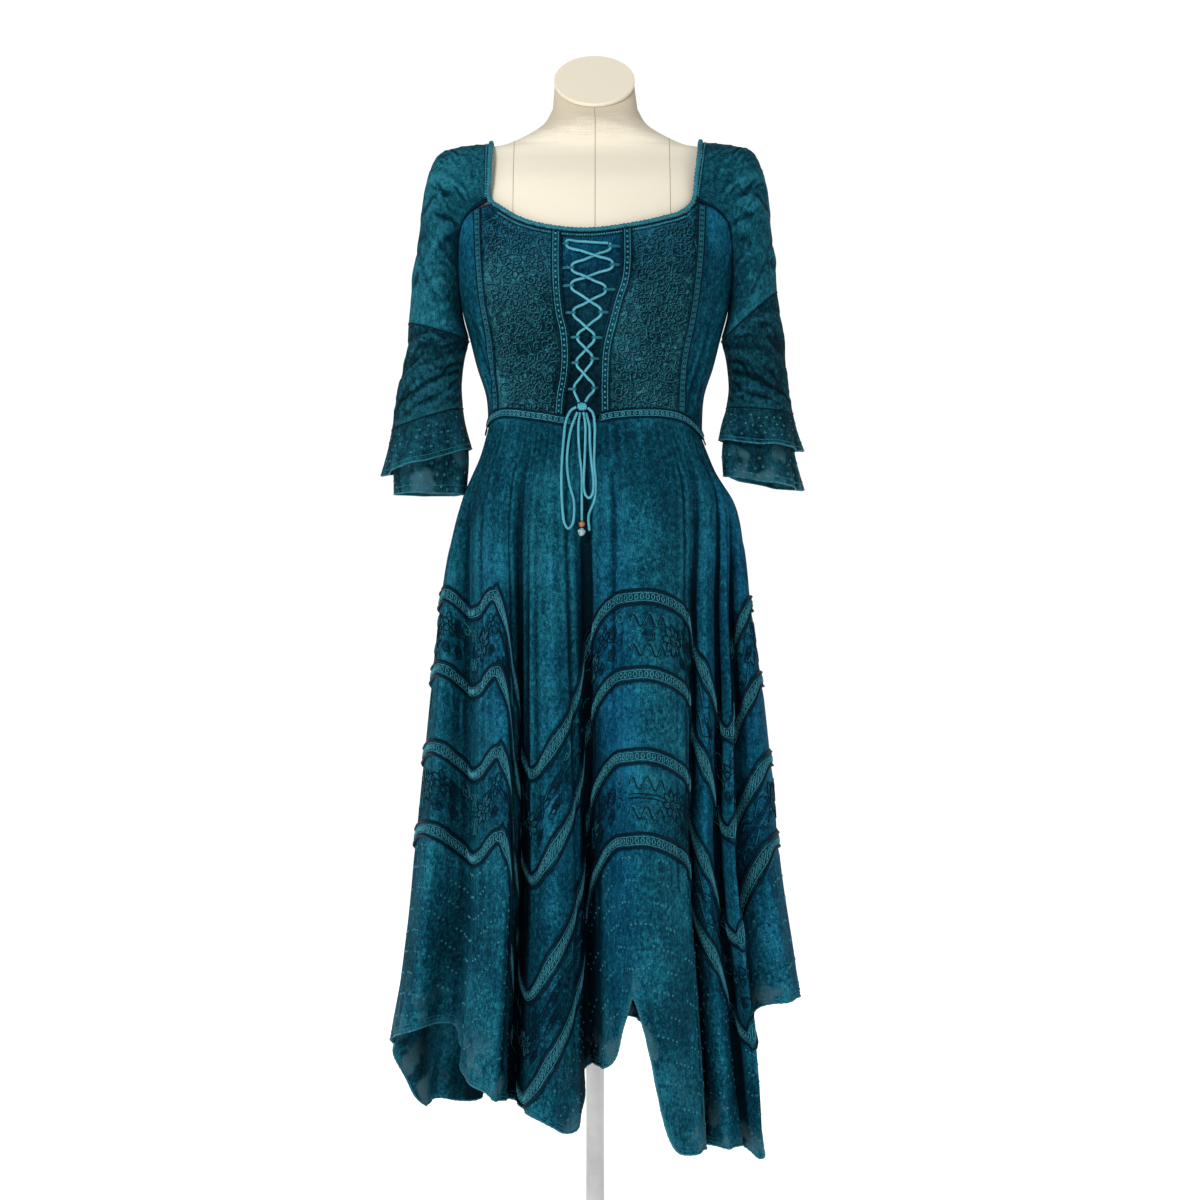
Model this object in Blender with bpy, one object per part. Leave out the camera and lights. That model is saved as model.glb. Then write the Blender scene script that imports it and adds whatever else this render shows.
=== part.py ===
"""A laced renaissance dress in teal rayon on a limbless linen dress form, cut and sewn as the real one is.

Units are metres, +Z is up and the front of the dress faces -Y. The origin is under the middle of the stand's base.
"""

import bisect
import math
from collections import namedtuple

import bmesh
import bpy
from mathutils import Matrix, Vector

CLOTH = 0.0012
SEAM_GAP = 0.0003
WAIST_GAP = 0.0010
MERGE = 0.00005
NUDGE = 0.01

WAIST_Z = 1.040
SKIRT_TRIM_WIDTH = 0.020
SKIRT_TRIM_WALL = 0.0016
SKIRT_TRIM_LIFT = 0.0009
MOST_TRIM_STRETCH = 2.2
STEEP_SEAM = 0.0008
TIER_SEAM_GAP = 0.0015
BODICE_TRIM_WIDTH = 0.0125
BODICE_TRIM_WALL = 0.0016
BODICE_TRIM_LIFT = 0.0011
BINDING_RADIUS = 0.0026
BINDING_LIFT = 0.0018
BACK_NECK_DEG = 142
WAIST_TRIM_GAP_DEG = (12.4, 3.0)

LACE_DIAMETER = 0.0032
FORM_CLEARANCE = 0.0055
INSET_DEPTH = 0.0040
TAPE_DEPTH = 0.0022
TAPE_WIDTH = 0.006
TAPE_WALL = 0.0012

BASE_RADIUS = 0.140
BASE_HEIGHT = 0.008
POLE_RADIUS = 0.0125
FORM_BOTTOM = 0.860
CAP_HALF_WIDTH = 0.0505
CAP_HALF_LENGTH = 0.0526
CAP_THICKNESS = 0.005
CAP_TOP_CENTRE_Z = 1.4706
CAP_TILT = math.radians(45)

BodyRow = namedtuple("BodyRow", "z half_width front back")
BODY = [
    BodyRow(1.000, 0.1330, 0.099, 0.090),
    BodyRow(1.040, 0.1325, 0.099, 0.089),
    BodyRow(1.075, 0.1352, 0.102, 0.090),
    BodyRow(1.110, 0.1463, 0.110, 0.092),
    BodyRow(1.146, 0.1555, 0.120, 0.094),
    BodyRow(1.180, 0.1650, 0.126, 0.096),
    BodyRow(1.220, 0.1710, 0.125, 0.098),
    BodyRow(1.260, 0.1735, 0.115, 0.100),
    BodyRow(1.300, 0.1750, 0.101, 0.100),
    BodyRow(1.340, 0.1760, 0.086, 0.096),
]

FormRow = namedtuple("FormRow", "z half_width front back tilt")
FORM_HIP = [
    FormRow(0.860, 0.1420, 0.087, 0.099, 0.0),
    FormRow(0.910, 0.1420, 0.090, 0.099, 0.0),
    FormRow(0.965, 0.1360, 0.091, 0.094, 0.0),
]
FORM_SHOULDER = [
    FormRow(1.335, 0.1690, 0.0800, 0.0900, 0.0),
    FormRow(1.355, 0.1680, 0.0640, 0.0740, 0.0),
    FormRow(1.370, 0.1635, 0.0490, 0.0550, 0.0),
    FormRow(1.3790, 0.1555, 0.0420, 0.0460, 0.0),
    FormRow(1.3838, 0.1385, 0.0400, 0.0430, 0.0),
    FormRow(1.3885, 0.1125, 0.0400, 0.0430, 0.0),
    FormRow(1.4010, 0.0850, 0.0440, 0.0490, 0.05),
    FormRow(1.4150, 0.0640, 0.0450, 0.0480, 0.15),
    FormRow(1.4330, 0.0530, 0.0430, 0.0460, 0.40),
]

Line = namedtuple("Line", "z x")
PRINCESS_LEFT = [
    Line(1.040, -0.1205),
    Line(1.082, -0.1225),
    Line(1.134, -0.1270),
    Line(1.185, -0.1360),
    Line(1.238, -0.1410),
    Line(1.310, -0.1440),
]
PRINCESS_RIGHT = [
    Line(1.040, 0.1040),
    Line(1.082, 0.1050),
    Line(1.117, 0.1080),
    Line(1.168, 0.1180),
    Line(1.238, 0.1265),
    Line(1.310, 0.1300),
]
LACING_LEFT = [
    Line(1.040, -0.0377),
    Line(1.069, -0.0353),
    Line(1.090, -0.0314),
    Line(1.120, -0.0295),
    Line(1.148, -0.0320),
    Line(1.163, -0.0357),
    Line(1.197, -0.0396),
    Line(1.280, -0.0405),
]
LACING_RIGHT = [
    Line(1.040, 0.0053),
    Line(1.090, 0.0053),
    Line(1.120, 0.0068),
    Line(1.136, 0.0097),
    Line(1.158, 0.0155),
    Line(1.182, 0.0217),
    Line(1.209, 0.0300),
    Line(1.280, 0.0320),
]

Neck = namedtuple("Neck", "x z")
NECKLINE = [
    Neck(-0.1460, 1.3075),
    Neck(-0.1300, 1.3125),
    Neck(-0.1230, 1.3075),
    Neck(-0.1140, 1.2990),
    Neck(-0.0910, 1.2840),
    Neck(-0.0570, 1.2730),
    Neck(-0.0090, 1.2680),
    Neck(0.0390, 1.2740),
    Neck(0.0800, 1.2840),
    Neck(0.1105, 1.2970),
    Neck(0.1180, 1.3060),
    Neck(0.1230, 1.3115),
    Neck(0.1400, 1.3085),
]
BACK_NECK_MIDDLE_Z = 1.285

Sleeve = namedtuple("Sleeve", "seam_x seam_z seam_y outer_x outer_z depth closed")
SLEEVE_LEFT = [
    Sleeve(-0.1325, 1.3110, 0.0640, -0.1325, 1.3880, 0.000, 0.0),
    Sleeve(-0.1550, 1.2980, 0.0480, -0.1700, 1.3840, 0.014, 0.0),
    Sleeve(-0.1685, 1.2760, 0.0322, -0.1970, 1.3720, 0.028, 0.15),
    Sleeve(-0.1710, 1.2310, 0.0236, -0.2100, 1.3330, 0.038, 0.35),
    Sleeve(-0.1680, 1.1800, 0.0133, -0.2220, 1.2600, 0.044, 0.65),
    Sleeve(-0.1590, 1.1440, 0.0020, -0.2320, 1.1650, 0.048, 1.0),
]
LOWER_LEFT = [
    Sleeve(-0.1590, 1.1432, 0.0020, -0.2320, 1.1642, 0.048, 1.0),
    Sleeve(-0.1650, 1.1180, 0.0020, -0.2350, 1.1240, 0.050, 1.0),
    Sleeve(-0.1680, 1.0880, 0.0020, -0.2460, 1.0800, 0.050, 1.0),
    Sleeve(-0.1665, 1.0600, 0.0020, -0.2530, 1.0320, 0.048, 1.0),
]
SLEEVE_RIGHT = [
    Sleeve(0.1225, 1.3110, 0.0695, 0.1345, 1.3900, 0.000, 0.0),
    Sleeve(0.1535, 1.2980, 0.0495, 0.1720, 1.3860, 0.014, 0.0),
    Sleeve(0.1685, 1.2760, 0.0322, 0.1980, 1.3760, 0.028, 0.15),
    Sleeve(0.1710, 1.2310, 0.0236, 0.2120, 1.3350, 0.038, 0.35),
    Sleeve(0.1680, 1.1800, 0.0133, 0.2210, 1.2700, 0.044, 0.65),
    Sleeve(0.1590, 1.1440, 0.0020, 0.2260, 1.2050, 0.048, 1.0),
]
LOWER_RIGHT = [
    Sleeve(0.1590, 1.1432, 0.0020, 0.2260, 1.2042, 0.048, 1.0),
    Sleeve(0.1650, 1.1180, 0.0020, 0.2330, 1.1570, 0.050, 1.0),
    Sleeve(0.1680, 1.0850, 0.0020, 0.2400, 1.0880, 0.050, 1.0),
    Sleeve(0.1650, 1.0600, 0.0020, 0.2460, 1.0530, 0.048, 1.0),
]
FLOUNCE_OUTER_LEFT = [
    Sleeve(-0.1665, 1.0592, 0.0020, -0.2530, 1.0312, 0.048, 1.0),
    Sleeve(-0.1630, 1.0350, 0.0020, -0.2590, 1.0050, 0.056, 1.0),
    Sleeve(-0.1570, 1.0080, 0.0020, -0.2660, 0.9750, 0.064, 1.0),
]
FLOUNCE_OUTER_RIGHT = [
    Sleeve(0.1650, 1.0592, 0.0020, 0.2460, 1.0522, 0.048, 1.0),
    Sleeve(0.1600, 1.0400, 0.0020, 0.2520, 1.0300, 0.056, 1.0),
    Sleeve(0.1570, 1.0190, 0.0020, 0.2590, 1.0060, 0.063, 1.0),
]
FLOUNCE_INNER_LEFT = [
    Sleeve(-0.1690, 1.0555, 0.0020, -0.2488, 1.0285, 0.0442, 1.0),
    Sleeve(-0.1600, 1.0040, 0.0020, -0.2510, 0.9900, 0.0470, 1.0),
    Sleeve(-0.1640, 0.9520, 0.0020, -0.2490, 0.9530, 0.0520, 1.0),
]
FLOUNCE_INNER_RIGHT = [
    Sleeve(0.1662, 1.0555, 0.0020, 0.2432, 1.0475, 0.0446, 1.0),
    Sleeve(0.1605, 1.0080, 0.0020, 0.2490, 1.0000, 0.0480, 1.0),
    Sleeve(0.1630, 0.9750, 0.0020, 0.2590, 0.9570, 0.0540, 1.0),
]
FLOUNCE_WAVES = 4
FLOUNCE_WAVE_HEIGHT = 0.0045

WaistPoint = namedtuple("WaistPoint", "degrees z")
WAIST_LINE = [
    WaistPoint(-180, 1.028),
    WaistPoint(-120, 1.027),
    WaistPoint(-88, 1.031),
    WaistPoint(-72, 1.045),
    WaistPoint(-58, 1.050),
    WaistPoint(-30, 1.044),
    WaistPoint(-10, 1.037),
    WaistPoint(0, 1.040),
    WaistPoint(10, 1.045),
    WaistPoint(44, 1.047),
    WaistPoint(58, 1.040),
    WaistPoint(70, 1.030),
    WaistPoint(88, 1.019),
    WaistPoint(120, 1.022),
    WaistPoint(180, 1.028),
]

Fold = namedtuple("Fold", "waist_deg x y drop hem_z")
FRONT_FOLDS = [
    Fold(-97, -0.222, 0.020, 0.04, 0.262),
    Fold(-82, -0.201, -0.075, -0.02, 0.294),
    Fold(-69, -0.155, -0.045, 0.08, 0.297),
    Fold(-59, -0.139, -0.110, 0.08, 0.252),
    Fold(-49, -0.108, -0.150, 0.00, 0.228),
    Fold(-40, -0.099, -0.124, 0.36, 0.220),
    Fold(-34, -0.089, -0.074, 0.75, 0.211),
    Fold(-27, -0.073, -0.116, 0.95, 0.208),
    Fold(-20, -0.048, -0.150, 0.80, 0.196),
    Fold(-12, -0.021, -0.118, 0.57, 0.184),
    Fold(-4, -0.009, -0.070, 0.28, 0.250),
    Fold(6, 0.017, -0.125, 0.05, 0.262),
    Fold(17, 0.044, -0.170, 0.00, 0.348),
    Fold(29, 0.074, -0.168, 0.01, 0.182),
    Fold(39, 0.107, -0.122, 0.09, 0.162),
    Fold(47, 0.109, -0.079, 0.24, 0.160),
    Fold(55, 0.131, -0.102, 0.44, 0.158),
    Fold(62, 0.146, -0.062, 0.66, 0.154),
    Fold(69, 0.166, -0.090, 0.72, 0.153),
    Fold(77, 0.166, -0.044, 0.34, 0.300),
    Fold(86, 0.210, -0.060, 0.06, 0.328),
]
BACK_FOLDS = [
    Fold(97, 0.226, 0.030, 0.04, 0.326),
    Fold(108, 0.196, 0.092, 0.00, 0.330),
    Fold(119, 0.150, 0.078, 0.20, 0.260),
    Fold(131, 0.138, 0.146, 0.50, 0.205),
    Fold(143, 0.090, 0.100, 0.88, 0.170),
    Fold(156, 0.064, 0.182, 0.75, 0.250),
    Fold(169, 0.020, 0.115, 0.30, 0.285),
    Fold(183, -0.024, 0.196, 0.00, 0.275),
    Fold(198, -0.068, 0.120, 0.15, 0.255),
    Fold(211, -0.104, 0.176, 0.55, 0.195),
    Fold(224, -0.130, 0.104, 0.90, 0.174),
    Fold(237, -0.172, 0.124, 0.55, 0.170),
    Fold(250, -0.190, 0.070, 0.20, 0.176),
]
FOLDS = FRONT_FOLDS + BACK_FOLDS
COLUMNS_PER_FOLD_ROW = 2
LEAST_MITRE = 0.5

Flare = namedtuple("Flare", "z left right depth")
SKIRT_FLARE = [
    Flare(0.120, 1.55, 1.66, 1.30),
    Flare(0.280, 1.335, 1.43, 1.20),
    Flare(0.390, 1.18, 1.26, 1.13),
    Flare(0.440, 1.11, 1.17, 1.10),
    Flare(0.520, 1.02, 1.04, 1.00),
    Flare(0.620, 0.90, 0.95, 0.84),
    Flare(0.720, 0.79, 0.83, 0.66),
    Flare(0.820, 0.67, 0.68, 0.46),
    Flare(0.900, 0.53, 0.58, 0.26),
    Flare(0.960, 0.34, 0.45, 0.12),
    Flare(1.000, 0.13, 0.18, 0.04),
    Flare(1.040, 0.00, 0.00, 0.00),
]
SPREAD_HALF_WIDTH = 0.224
SPREAD_FRONT = 0.150
SPREAD_BACK = 0.165

Tier = namedtuple("Tier", "name peak_z dip")
TRIM_LEVELS = [
    Tier("first", 0.8237, 0.2250),
    Tier("second", 0.7312, 0.2625),
    Tier("third", 0.6337, 0.3060),
    Tier("fourth", 0.5337, 0.3300),
]
TIER_NAMES = ["upper", "second", "third", "fourth", "bottom"]
TIER_MIDDLE_ROWS = [3, 1, 1, 1, 1]

LoopTip = namedtuple("LoopTip", "left_x left_z right_x right_z")
LOOP_TIPS = [
    LoopTip(-0.0338, 1.2510, 0.0181, 1.2474),
    LoopTip(-0.0272, 1.2209, 0.0205, 1.2245),
    LoopTip(-0.0278, 1.1990, 0.0121, 1.1943),
    LoopTip(-0.0254, 1.1666, 0.0068, 1.1670),
    LoopTip(-0.0205, 1.1376, -0.0012, 1.1370),
    LoopTip(-0.0217, 1.1075, -0.0036, 1.1123),
    LoopTip(-0.0249, 1.0761, -0.0017, 1.0773),
]
LOOP_HEIGHT = 0.0030
LOOP_WALL = 0.0008
LACE_SEAT = 0.0019
LOOP_PASS = 0.0034
LACE_UNDER = 0.0002
LACE_OVER = 0.0038

KNOT = Vector((-0.0157, -0.1060, 1.0545))
KNOT_SIZE = Vector((0.0066, 0.0042, 0.0050))
KNOT_FROM_LEFT = [
    Vector((-0.0222, -0.1042, 1.0660)),
    Vector((-0.0196, -0.1055, 1.0600)),
]
KNOT_FROM_RIGHT = [
    Vector((-0.0076, -0.1052, 1.0672)),
    Vector((-0.0118, -0.1062, 1.0602)),
]
BOW_LOOP_LEFT = [
    Vector((-0.0228, -0.1056, 1.0540)),
    Vector((-0.0290, -0.1052, 1.0500)),
    Vector((-0.0350, -0.1023, 1.0380)),
    Vector((-0.0380, -0.1038, 1.0150)),
    Vector((-0.0400, -0.1087, 0.9900)),
    Vector((-0.0408, -0.1137, 0.9650)),
    Vector((-0.0400, -0.1186, 0.9400)),
    Vector((-0.0378, -0.1210, 0.9180)),
    Vector((-0.0352, -0.1206, 0.9070)),
    Vector((-0.0318, -0.1198, 0.9060)),
    Vector((-0.0274, -0.1172, 0.9180)),
    Vector((-0.0262, -0.1166, 0.9400)),
    Vector((-0.0310, -0.1139, 0.9600)),
    Vector((-0.0338, -0.1098, 0.9820)),
    Vector((-0.0330, -0.1059, 1.0050)),
    Vector((-0.0285, -0.1035, 1.0300)),
    Vector((-0.0215, -0.1090, 1.0474)),
]
LACE_END_LEFT = [
    Vector((-0.0183, -0.1064, 1.0473)),
    Vector((-0.0200, -0.1023, 1.0340)),
    Vector((-0.0200, -0.1048, 1.0150)),
    Vector((-0.0185, -0.1075, 0.9950)),
    Vector((-0.0162, -0.1103, 0.9740)),
    Vector((-0.0160, -0.1137, 0.9450)),
    Vector((-0.0160, -0.1120, 0.9160)),
]
BOW_LOOP_RIGHT = [
    Vector((-0.0140, -0.1085, 1.0474)),
    Vector((-0.0118, -0.1031, 1.0330)),
    Vector((-0.0118, -0.1056, 1.0130)),
    Vector((-0.0122, -0.1085, 0.9900)),
    Vector((-0.0112, -0.1120, 0.9650)),
    Vector((-0.0098, -0.1132, 0.9500)),
    Vector((-0.0070, -0.1137, 0.9440)),
    Vector((-0.0046, -0.1143, 0.9520)),
    Vector((-0.0044, -0.1136, 0.9680)),
    Vector((-0.0056, -0.1104, 0.9900)),
    Vector((-0.0062, -0.1074, 1.0110)),
    Vector((-0.0070, -0.1039, 1.0320)),
    Vector((-0.0110, -0.1050, 1.0470)),
]
LACE_END_RIGHT = [
    Vector((-0.0086, -0.1068, 1.0530)),
    Vector((-0.0030, -0.1072, 1.0470)),
    Vector((-0.0004, -0.1043, 1.0320)),
    Vector((-0.0006, -0.1079, 1.0100)),
    Vector((-0.0010, -0.1120, 0.9850)),
    Vector((0.0008, -0.1151, 0.9600)),
    Vector((-0.0010, -0.1142, 0.9400)),
    Vector((-0.0078, -0.1132, 0.9220)),
    Vector((-0.0068, -0.1124, 0.9040)),
]
BEAD_AMBER = Vector((-0.0160, -0.1153, 0.9116))
BEAD_AMBER_SIZE = Vector((0.0040, 0.0040, 0.0040))
BEAD_TURQUOISE = Vector((-0.0162, -0.1150, 0.9021))
BEAD_TURQUOISE_SIZE = Vector((0.0052, 0.0044, 0.0050))

Finish = namedtuple("Finish", "colour roughness metallic")
FINISHES = {
    "rayon_teal": Finish((0.020, 0.140, 0.180), 0.75, 0.0),
    "rayon_dark": Finish((0.008, 0.045, 0.060), 0.80, 0.0),
    "trim_teal": Finish((0.045, 0.260, 0.310), 0.60, 0.0),
    "lace_teal": Finish((0.090, 0.420, 0.520), 0.55, 0.0),
    "linen": Finish((0.760, 0.740, 0.690), 0.90, 0.0),
    "stand_paint": Finish((0.820, 0.820, 0.800), 0.45, 0.0),
    "amber": Finish((0.350, 0.120, 0.030), 0.20, 0.0),
    "turquoise": Finish((0.180, 0.480, 0.460), 0.35, 0.0),
}


def clear_scene():
    for obj in list(bpy.data.objects):
        bpy.data.objects.remove(obj, do_unlink=True)


def make_collection(name):
    collection = bpy.data.collections.new(name)
    bpy.context.scene.collection.children.link(collection)
    return collection


def make_material(name):
    finish = FINISHES[name]
    material = bpy.data.materials.new(name)
    material.use_nodes = True
    shader = material.node_tree.nodes["Principled BSDF"]
    shader.inputs["Base Color"].default_value = (*finish.colour, 1.0)
    shader.inputs["Roughness"].default_value = finish.roughness
    shader.inputs["Metallic"].default_value = finish.metallic
    material.diffuse_color = (*finish.colour, 1.0)
    return material


def add_mesh(name, bm, finish, collection=None):
    """Puts a finished bmesh into the scene as one named object."""
    mesh = bpy.data.meshes.new(name)
    bm.to_mesh(mesh)
    bm.free()
    mesh.materials.append(materials[finish])
    mesh.shade_smooth()
    obj = bpy.data.objects.new(name, mesh)
    (collection or dress).objects.link(obj)
    return obj


def through(keys, values):
    """A smooth curve through values that lie at rising keys, as a function of the key."""
    steps = [(b - a) / (q - p) for a, b, p, q in zip(values, values[1:], keys, keys[1:])]
    slopes = [steps[0]] + [(a + b) / 2 for a, b in zip(steps, steps[1:])] + [steps[-1]]

    def read(key):
        key = min(max(key, keys[0]), keys[-1])
        i = min(bisect.bisect_right(keys, key), len(keys) - 1) - 1
        span = keys[i + 1] - keys[i]
        t = (key - keys[i]) / span
        rise = t * t * (3 - 2 * t)
        start = t * (1 - t) * (1 - t) * span * slopes[i]
        end = t * t * (t - 1) * span * slopes[i + 1]
        return values[i] * (1 - rise) + values[i + 1] * rise + start + end

    return read


def columns_of(rows, key):
    """One smooth curve for each column of a table, all read by the same key column."""
    keys = [getattr(row, key) for row in rows]
    return {
        name: through(keys, [getattr(row, name) for row in rows])
        for name in rows[0]._fields
        if name != key
    }


body_at = columns_of(BODY, "z")
waist_at = columns_of(WAIST_LINE, "degrees")["z"]
neck_at = columns_of(NECKLINE, "x")["z"]
flare_at = columns_of(SKIRT_FLARE, "z")


def body_point(turn, z, out=0.0):
    """A point of the bodice. turn is 0 at the front, a quarter circle at the photo's right side."""
    half_width = body_at["half_width"](z)
    depth = body_at["front" if math.cos(turn) > 0 else "back"](z)
    x = half_width * math.sin(turn)
    y = -depth * math.cos(turn)
    away = Vector((x / half_width**2, y / depth**2, 0.0)).normalized()
    return Vector((x, y, z)) + away * out


def waist_z(turn):
    """The height of the waist seam, which dips at the sides and the back."""
    return waist_at((math.degrees(turn) + 180) % 360 - 180)


def turn_at(x, z):
    """The turn at which the front of the bodice has this x."""
    return math.asin(max(-1.0, min(1.0, x / body_at["half_width"](z))))


def on_front(x, z, out=0.0):
    return body_point(turn_at(x, z), z, out)


def cloth(name, point, columns, stops, finish="rayon_teal", wall=CLOTH, inner=0.0, ring=False):
    """A wall of cloth: a grid laid on the inner face by point(across, down, out), then drawn out to its thickness."""
    bm = bmesh.new()
    bmesh.ops.create_grid(bm, x_segments=columns, y_segments=len(stops) - 1, size=0.5)
    across = bm.verts.layers.float.new("across")
    down = bm.verts.layers.float.new("down")
    rows = len(stops) - 1
    for vert in bm.verts:
        vert[across] = vert.co.x + 0.5
        vert[down] = stops[round((vert.co.y + 0.5) * rows)]
        vert.co = point(vert[across], vert[down], inner)
    bmesh.ops.triangulate(bm, faces=bm.faces, quad_method="FIXED")
    if ring:
        bmesh.ops.remove_doubles(bm, verts=bm.verts, dist=MERGE)
    made = bmesh.ops.extrude_face_region(bm, geom=bm.faces[:], use_keep_orig=True)
    for item in made["geom"]:
        if isinstance(item, bmesh.types.BMVert):
            item.co = point(item[across], item[down], inner + wall)
    bmesh.ops.recalc_face_normals(bm, faces=bm.faces)
    if bm.calc_volume(signed=True) < 0:
        bmesh.ops.reverse_faces(bm, faces=bm.faces)
    return add_mesh(name, bm, finish)


def evenly(count):
    return [i / count for i in range(count + 1)]


def ring_solid(name, rings, finish, collection=None):
    """A solid through closed rings of equal length, with flat ends."""
    bm = bmesh.new()
    loops = []
    for ring in rings:
        verts = [bm.verts.new(point) for point in ring]
        loops.append([bm.edges.new((a, b)) for a, b in zip(verts, verts[1:] + verts[:1])])
    for low, high in zip(loops, loops[1:]):
        bmesh.ops.bridge_loops(bm, edges=low + high)
    bmesh.ops.contextual_create(bm, geom=loops[0])
    bmesh.ops.contextual_create(bm, geom=loops[-1])
    bmesh.ops.recalc_face_normals(bm, faces=bm.faces)
    return add_mesh(name, bm, finish, collection)


FORM_SIDES = 20


def form_ring(row, middle_y=0.0):
    ring = []
    for i in range(FORM_SIDES):
        turn = 2 * math.pi * i / FORM_SIDES
        depth = row.front if math.cos(turn) > 0 else row.back
        y = -depth * math.cos(turn)
        ring.append(Vector((row.half_width * math.sin(turn), y + middle_y, row.z + row.tilt * y)))
    return ring


def build_form():
    """The linen dress form, its neck cap and its stand."""
    rows = list(FORM_HIP)
    for row in BODY[1:-1]:
        rows.append(
            FormRow(
                row.z,
                row.half_width - FORM_CLEARANCE,
                row.front - FORM_CLEARANCE,
                row.back - FORM_CLEARANCE,
                0.0,
            )
        )
    rows += FORM_SHOULDER
    rings = [form_ring(row) for row in rows]
    along_cap = Vector((0.0, math.cos(CAP_TILT), math.sin(CAP_TILT)))
    cap_out = Vector((0.0, -math.sin(CAP_TILT), math.cos(CAP_TILT)))
    cap_top = Vector((-0.001, 0.0, CAP_TOP_CENTRE_Z))
    neck_top = cap_top - cap_out * (CAP_THICKNESS + SEAM_GAP)
    ring = []
    for i in range(FORM_SIDES):
        turn = 2 * math.pi * i / FORM_SIDES
        side = Vector((1, 0, 0)) * (CAP_HALF_WIDTH - 0.001) * math.sin(turn)
        ring.append(neck_top + side - along_cap * (CAP_HALF_LENGTH - 0.001) * math.cos(turn))
    rings.append(ring)
    ring_solid("form_torso", rings, "linen")

    bm = bmesh.new()
    bmesh.ops.create_cone(
        bm, cap_ends=True, segments=28, radius1=1.0, radius2=1.0, depth=CAP_THICKNESS
    )
    bmesh.ops.scale(bm, vec=(CAP_HALF_WIDTH, CAP_HALF_LENGTH, 1.0), verts=bm.verts)
    bmesh.ops.rotate(bm, matrix=Matrix.Rotation(CAP_TILT, 3, "X"), verts=bm.verts)
    bmesh.ops.translate(bm, vec=cap_top - cap_out * CAP_THICKNESS / 2, verts=bm.verts)
    add_mesh("form_neck_cap", bm, "linen")

    bm = bmesh.new()
    bmesh.ops.create_cone(
        bm, cap_ends=True, segments=36, radius1=BASE_RADIUS, radius2=BASE_RADIUS, depth=BASE_HEIGHT
    )
    bmesh.ops.translate(bm, vec=(0, 0, BASE_HEIGHT / 2), verts=bm.verts)
    add_mesh("stand_base", bm, "stand_paint")

    pole_bottom = BASE_HEIGHT + SEAM_GAP
    pole_top = FORM_BOTTOM - SEAM_GAP
    bm = bmesh.new()
    bmesh.ops.create_cone(
        bm,
        cap_ends=True,
        segments=16,
        radius1=POLE_RADIUS,
        radius2=POLE_RADIUS,
        depth=pole_top - pole_bottom,
    )
    bmesh.ops.translate(bm, vec=(0, 0, (pole_top + pole_bottom) / 2), verts=bm.verts)
    add_mesh("stand_pole", bm, "stand_paint")


def wrap_folds():
    """Smooth curves for the fold table that join up once round. The key is the row's number."""
    count = len(FOLDS)
    around = range(-3, count + 4)
    rows = [FOLDS[i % count] for i in around]
    keys = list(around)
    laps = [i // count for i in around]
    names = ("x", "y", "drop", "hem_z")
    curves = {name: through(keys, [getattr(row, name) for row in rows]) for name in names}
    turns = [math.radians(r.waist_deg + 360 * lap) for r, lap in zip(rows, laps)]
    curves["turn"] = through(keys, turns)
    return curves


fold_at = wrap_folds()


def skirt_line(place, z):
    """The skirt's cloth at one place of the fold table and one height, with no thickness."""
    turn = fold_at["turn"](place)
    below_waist = z + WAIST_Z - waist_z(turn)
    toward_right = (1 + math.sin(turn)) / 2
    spread = flare_at["left"](below_waist) * (1 - toward_right)
    spread += flare_at["right"](below_waist) * toward_right
    depth = flare_at["depth"](below_waist)
    facing_front = math.cos(turn) > 0
    waist = body_point(turn, WAIST_Z)
    wide = -(SPREAD_FRONT if facing_front else SPREAD_BACK) * math.cos(turn)
    smooth = Vector((SPREAD_HALF_WIDTH * math.sin(turn), wide, 0.0))
    fold = Vector((fold_at["x"](place), fold_at["y"](place), 0.0)) - smooth
    point = waist * (1 - spread) + smooth * spread + fold * depth
    return Vector((point.x, point.y, z))


def skirt_point(place, z, out=0.0):
    """The same, moved out of the cloth so that its wall keeps one thickness round each fold."""
    step = 1 / COLUMNS_PER_FOLD_ROW
    here = skirt_line(place, z)
    before = here - skirt_line(place - step, z)
    after = skirt_line(place + step, z) - here
    normals = [Vector((side.y, -side.x, 0.0)).normalized() for side in (before, after)]
    away = (normals[0] + normals[1]).normalized()
    return here + away * out / max(away.dot(normals[0]), LEAST_MITRE)


def trim_z(level, place):
    return level.peak_z - level.dip * fold_at["drop"](place)


def steepness(level, place):
    """How much longer a stretch of the trim is than the cloth it crosses: 1 where the trim lies level."""
    a = skirt_line(place - 0.25, 0.6)
    b = skirt_line(place + 0.25, 0.6)
    slope = (trim_z(level, place + 0.25) - trim_z(level, place - 0.25)) / max((b - a).length, NUDGE)
    return math.sqrt(1 + slope * slope)


def trim_reach(level, place):
    """How far above and below its middle line a trim reaches, so that its width is even where it runs steeply."""
    return SKIRT_TRIM_WIDTH / 2 * min(steepness(level, place), MOST_TRIM_STRETCH)


def half_seam(level, place):
    """Half of a tier seam's gap, measured upright, so that it stays open where the seam runs steeply."""
    return TIER_SEAM_GAP / 2 + STEEP_SEAM * (steepness(level, place) - 1)


def tier_edges(index, place):
    """The heights at one place where a tier's cloth begins, meets its trims' edges and ends."""
    if index == 0:
        top, under_top = waist_z(fold_at["turn"](place)) - WAIST_GAP / 2, None
    else:
        level = TRIM_LEVELS[index - 1]
        top = trim_z(level, place) - half_seam(level, place)
        under_top = trim_z(level, place) - trim_reach(level, place)
    if index == len(TRIM_LEVELS):
        bottom, over_bottom = fold_at["hem_z"](place), None
    else:
        level = TRIM_LEVELS[index]
        bottom = trim_z(level, place) + half_seam(level, place)
        over_bottom = trim_z(level, place) + trim_reach(level, place)
    return top, under_top, over_bottom, bottom


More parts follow.
